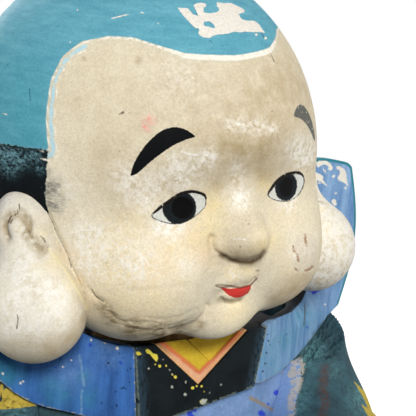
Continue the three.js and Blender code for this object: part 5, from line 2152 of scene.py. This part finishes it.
def make_finishes() -> Finishes:
    """Builds every finish of the figure, by name.

    Returns:
        The finishes by name.
    """
    # Painted shade, black, in the neck under the head
    throat = Coat("throat", "#0b0a09", ragged=0.2, grain=2.0, soft=0.5)
    # Painted shade, black, in the gap between the jaw and the boards and collars
    jaw_gap_shade = Coat("gap", "#0b0a09", "#15181b", ragged=0.3, grain=2.0, soft=0.4)
    shade = Wash("shade", "#6b4a0a", "#86610f", ragged=0.3, grain=6.0, cover=0.6)
    faded_blue, faded_mottle = "#86a2d0", "#6f8fb8"
    skin_coats = (
        # Tan dirt, with painted shade round the eyes, the lower nose and the far jaw
        Wash("tan", "#a99266", "#bda882", ragged=0.55, grain=6.0, cover=0.9),
        # Warm tint, with painted light on the upper lip
        Wash("warm", "#f2d694", "#f0dfae", ragged=0.6, grain=6.0, cover=0.85),
        Wash("peach", "#f0c9a0", "#f3d9b0", ragged=0.6, grain=6.0, cover=0.7),
        Wash("white", "#fdf9f0", "#f4eddf", ragged=1.6, grain=2.6, lost_above=0.58, flake=4.4),
        Coat("curls", "#fbf8f1", ragged=0.5, grain=1.6, soft=0.3, cover=0.8, relief=0.15),
        Wash("pink", "#ea8f85", "#f0b5a6", ragged=1.6, grain=1.6, cover=0.9),
        Wash("spot", "#a3885f", "#b09a75", ragged=0.5, grain=2.0, cover=0.8),
        # Grime and painted shade under the jowls
        Wash("grime", "#66502f", "#8a744c", ragged=1.0, grain=3.0, cover=0.9, pull=(0.6, 0.6, 1.6)),
        # Painted shadow under the nose
        Wash("under_nose", "#5a4327", "#6e5635", ragged=0.15, grain=4.0, cover=0.85),
        Coat("dots", "#5c4a35", ragged=0.5, grain=1.2, soft=0.25, cover=0.8),
        Coat("chipped", "#e9dfcf", "#d3c4a8", ragged=2.2, grain=3.0, soft=0.4, cover=0.75, relief=-0.12),
        Coat("rusty", "#9a6a40", ragged=0.9, grain=1.2, soft=0.35, cover=0.85),
        Wash("grey", "#5a5f5e", "#8d8a7f", ragged=1.3, grain=3.0, cover=0.9, pull=(1.0, 1.0, 4.0)),
        Coat("cracks", "#3a2c1f", ragged=0.25, grain=1.2, soft=0.2, cover=0.85),
        Coat("cap", "#7fc2d1", "#4188a0", ragged=0.25, grain=5.0, relief=0.12, pull=(0.35, 0.35, 1.6)),
        Wash("cap_low", "#459aac", "#3f8f9c", ragged=0.8, grain=9.0, cover=0.6, pull=(0.5, 0.5, 1.2)),
        Coat("temple", "#a9d6e4", "#c6e2ea", ragged=0.35, grain=2.5, soft=0.3, lost_above=0.66, flake=6.0),
        Coat("scrapes", "#24606c", ragged=0.4, grain=1.2, soft=0.3, cover=0.8),
        Coat("hair", "#24505a", "#7db3be", ragged=1.6, grain=2.6),
        Coat("hair", "#0d1316", "#080b0d", ragged=1.6, grain=2.6, lost_above=0.70, flake=3.2),
        Wash("hair_worn", "#2f6672", "#8fbcc4", ragged=2.0, grain=2.0, cover=0.9, pull=(1, 1, 1.6)),
        Coat("hairline", "#f9f6ec", "#eee6d2", ragged=0.3, grain=3.0),
        Coat("cap_loss", "#f3eee5", "#e4dccd", ragged=0.3, grain=1.4, soft=0.15, relief=-0.18),
        Coat("brow_near", "#08090a", "#0d0f10", ragged=0.4, grain=1.2, soft=0.15),
        Coat("brow_far", "#32383b", "#5d6163", ragged=0.4, grain=1.2, lost_above=0.62, flake=2.5, cover=0.9),
        Coat("eye", "#eae9df", "#c6c8c0", ragged=0.35, grain=1.4, soft=0.2),
        Coat("iris", "#20272a", "#060708", ragged=0.8, grain=1.1, soft=0.2),
        Coat("pupil", "#030303", ragged=0.6, grain=1.4, soft=0.3),
        Coat("lid", "#1a1512", ragged=0.5, grain=0.9, soft=0.2, lost_above=0.63, flake=3.0),
        Coat("lip", "#cf4038", "#b5342f", ragged=0.2, grain=1.2, soft=0.2),
        Coat("mouth", "#4f2c1d", ragged=0.2, grain=1.0, soft=0.3, cover=0.85),
    )
    ear_coats = (
        # Mostly painted shade on the lobes' lower rims
        Wash("tan", "#bda983", "#c9b794", ragged=0.8, grain=8.0, cover=0.85),
        Wash("warm", "#f1dfa6", "#efe3bb", ragged=0.6, grain=6.0, cover=0.8),
        # White paint, and painted light that makes the far lobe paler
        Wash("white", "#f8f5ee", "#ebe5d7", ragged=1.5, grain=3.2, cover=0.9, lost_above=0.6,
             flake=5.5),
        # Painted shade in the curl's groove
        Wash("groove", "#8d7a58", "#a8946c", ragged=1.2, grain=3.0, cover=0.75),
        Coat("ridge", "#f7ecbd", ragged=0.4, grain=3.0, soft=0.6, cover=0.8, relief=0.3),
        Coat("cracks", "#4a3722", "#6b5334", ragged=0.4, grain=1.2, soft=0.25, cover=0.9),
    )
    board_coats = (
        Wash("teal", "#2f7f8c", "#3f93a0", ragged=0.8, grain=8.0, cover=0.8),
        Wash("pale", "#8fb0d8", "#7fa3cf", ragged=1.0, grain=5.0, cover=0.7),
        Coat("deep", "#2434b4", ragged=0.9, grain=2.0, soft=0.4, cover=0.9),
        Coat("crease", "#9fc4d6", ragged=0.9, grain=2.0, soft=0.5, cover=0.4),
        Coat("dots", "#161c22", ragged=0.5, grain=1.2, soft=0.25, cover=0.85),
        Coat("crack", "#54503f", ragged=0.3, grain=1.2, soft=0.25, cover=0.8),
        Coat("edge", "#b9b69e", "#5f7280", ragged=1.8, grain=1.8, soft=0.4, cover=0.85, lost_above=0.52,
             flake=3.0),
        Coat("worn", "#dcd3b8", "#b9ab8c", ragged=1.2, grain=1.8, soft=0.3, lost_above=0.58, flake=2.5),
        Coat("flaked", "#f0ece2", "#ddd6c6", ragged=0.6, grain=1.6, soft=0.2, relief=-0.15),
        jaw_gap_shade,
    )
    rim = Coat("teal_rim", "#2b7280", "#3a8d99", ragged=0.5, grain=3.0)
    sleeve_coats = (
        Wash("rubbed", "#6f9d9c", "#4f7d84", ragged=1.6, grain=2.4, cover=0.75),
        Wash("rust", "#5a4138", "#4a4040", ragged=1.6, grain=3.0, cover=0.8),
        Coat("bare", faded_blue, faded_mottle, ragged=1.2, grain=2.2, soft=0.4),
        Coat("strip", "#a4967f", "#cfc9bd", ragged=2.2, grain=2.4, soft=0.5, cover=0.75, lost_above=0.55),
        Coat("leaves", "#cdb552", "#ad983c", ragged=0.8, grain=2.0, soft=0.3),
    )
    chest_coats = (
        Coat("flank", "#2b3b40", "#46666c", ragged=1.6, grain=2.2, soft=0.5),
        Coat("dabs", "#2f45c4", "#3b55cf", ragged=1.0, grain=2.0, soft=0.4),
        Coat("stripe", "#8f8068", "#a3968a", ragged=1.0, grain=2.0, soft=0.4, cover=0.9, lost_above=0.62),
        Coat("strip", "#8a7a64", "#b5a892", ragged=1.4, grain=2.2, soft=0.4, cover=0.95, lost_above=0.66),
        throat,
    )
    black_coats = (
        Wash("fringe", "#3f5a72", "#2c3a3b", ragged=1.8, grain=2.0, cover=0.6, pull=(1.0, 1.0, 0.4)),
        Coat("border", "#7d8676", "#5d6f70", ragged=1.6, grain=1.8, soft=0.4, cover=0.7, lost_above=0.54),
        jaw_gap_shade,
        Coat("pale", "#cfd3c2", ragged=0.9, grain=1.4, soft=0.3, cover=0.75),
        Coat("chips", "#e9dc62", "#d9c640", ragged=0.4, grain=1.2, soft=0.15, relief=-0.1),
    )
    orange_coats = (
        Coat("field", "#d9bb3a", "#c9a830", ragged=0.3, grain=4.0, soft=0.4),
        replace(shade, cover=0.45),
        Coat("inner", "#d9764f", "#d0683f", ragged=0.8, grain=3.0, soft=0.6, cover=0.85),
        Coat("outer", "#dd8a55", "#e0c27a", ragged=0.6, grain=4.0, soft=0.4, cover=0.8),
    )
    plaster = ("#e9dfc6", "#dfd3b8", 13.0)
    trousers = ("#4a76bb", "#3c669f")
    papers = {
        # Shell-white paint on paper: cream, chalky and faintly polished where it was handled
        "skin": PaintedPaper("gofun_face", *plaster, sand=0.15, tooth=0.38, coats=skin_coats),
        "ear": PaintedPaper(
            "gofun_ear", "#e8e1d0", "#d9cfba", mottle_size=9.0, sand=0.13, coats=ear_coats),
        "hand": PaintedPaper("gofun_hand", *plaster),
        # Lamp black in glue: near black, with a dull sheen
        "hair": PaintedPaper("ink_hair", "#14181b", "#1d2225", speck="#3f5960"),
        "black_collar": PaintedPaper(
            "ink_collar", "#0f1315", "#1b2224", speck="#59625c", speck_above=0.63,
            coats=black_coats),
        # Blue poster paint: deep on one board, faded on the other and on the chest
        "right_board": PaintedPaper(
            "blue_near_board", "#4171b6", "#2b4f86", brush=(1.6, 1.6, 0.3), speck="#7fa0cd",
            coats=board_coats),
        "left_board": PaintedPaper(
            "blue_far_board", "#90b1d4", "#5a82b2", brush=(1.8, 1.8, 0.3), speck="#aabfd8",
            coats=(rim, *board_coats)),
        "back_board": PaintedPaper("blue_back_board", "#4474b8", "#5583b5", speck="#d9dccf"),
        "chest_shell": PaintedPaper(
            "blue_chest", faded_blue, faded_mottle, speck="#d3d4d0", speck_above=0.6,
            coats=chest_coats),
        "hakama_front": PaintedPaper("blue_trousers", *trousers, speck="#c9d3dc"),
        "hakama_back": PaintedPaper("blue_trousers_back", *trousers, speck="#c9d3dc"),
        # Dark teal glue paint: dull, with rusty streaks and rubbed places on the sleeves
        "back_shell": PaintedPaper(
            "teal_back", "#36505a", "#2b424c", speck="#62868c", coats=(throat,)),
        "sleeve": PaintedPaper(
            "teal_sleeve", "#2f4149", "#3d5d66", mottle_size=9.0, speck="#6d8f92", lumps=0.25,
            sand=0.16, coats=sleeve_coats),
        # Matt orange and yellow paint on the inner collars
        "orange_collar": PaintedPaper(
            "orange_collar", "#e8b48c", "#df9f74", speck="#c8704e", coats=orange_coats),
        "yellow_collar": PaintedPaper(
            "yellow_collar", "#e2c440", "#d4b237", speck="#b9922c", coats=(shade,)),
    }
    bare = {
        # Turned softwood: pale rings and long grain
        "wood": Grained("turned_softwood", "#c9a471", "#a57f4c", (1.0, 1.0, 0.12), 2.5, 0.65),
        # Softwood coloured dark amber-brown and dull: painted shade, so that the neck plug in the gap under
        # the chin reads as shaded yellow lining
        "painted_shade_wood": Grained("painted_shade_softwood", "#7d5c1e", "#574015", (1.0, 1.0, 0.12), 2.5, 0.8),
        # Sand-cast iron: dark, rough and faintly rusty
        "iron": Grained("cast_iron", "#4e4a46", "#35302c", (1.0, 1.0, 1.0), 1.2, 0.62, 0.9, 0.25),
        # Drawn wire: bright, with fine lines along it
        "steel": Grained("drawn_steel", "#9b9da0", "#7f8286", (0.05, 1.0, 1.0), 0.6, 0.35, 1.0, 0.02),
        # Raw pasteboard: grey-brown fibres
        "base": Grained("raw_pasteboard", "#b9aa8b", "#a39472", (1.0, 1.0, 1.0), 3.0, 0.9),
    }
    return {name: finish.material() for name, finish in {**papers, **bare}.items()}


def dress_solids(finishes: Finishes) -> None:
    """Gives the solids that stay in sight their finishes.

    Args:
        finishes: The finishes by name.
    """
    # The neck plug's dark finish is painted shade for the gap under the chin
    kept = {"neck_plug": "painted_shade_wood", "neck_stem": "wood", "left_post": "wood", "right_post": "wood",
            "counterweight": "iron", "pivot_pin": "steel", "base_board": "base"}
    for node, finish in kept.items():
        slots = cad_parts[node].data.materials
        slots.clear()
        slots.append(finishes[finish])


def main() -> None:
    """Builds the figure round its solids and reports each piece."""
    logging.basicConfig(level=logging.INFO, format="%(message)s")
    VIEW.add_camera()
    Studio().build()
    finishes = make_finishes()
    dress_solids(finishes)
    head, boards = Head(), ShoulderBoards()
    room = new_object(wrap(head.room, LEAN.to_part(np.array(head.middle)), 6), "head_room")
    pieces = head.build(finishes)
    for assembly in (boards, Collars(boards), Torso(boards, head)):
        pieces += assembly.build(finishes, room)
    pieces += Arms(boards).build(finishes)
    bpy.data.objects.remove(room)
    for piece in pieces:
        LOG.info("%s: %d faces", piece.name, len(piece.data.polygons))


if __name__ == "__main__":
    main()
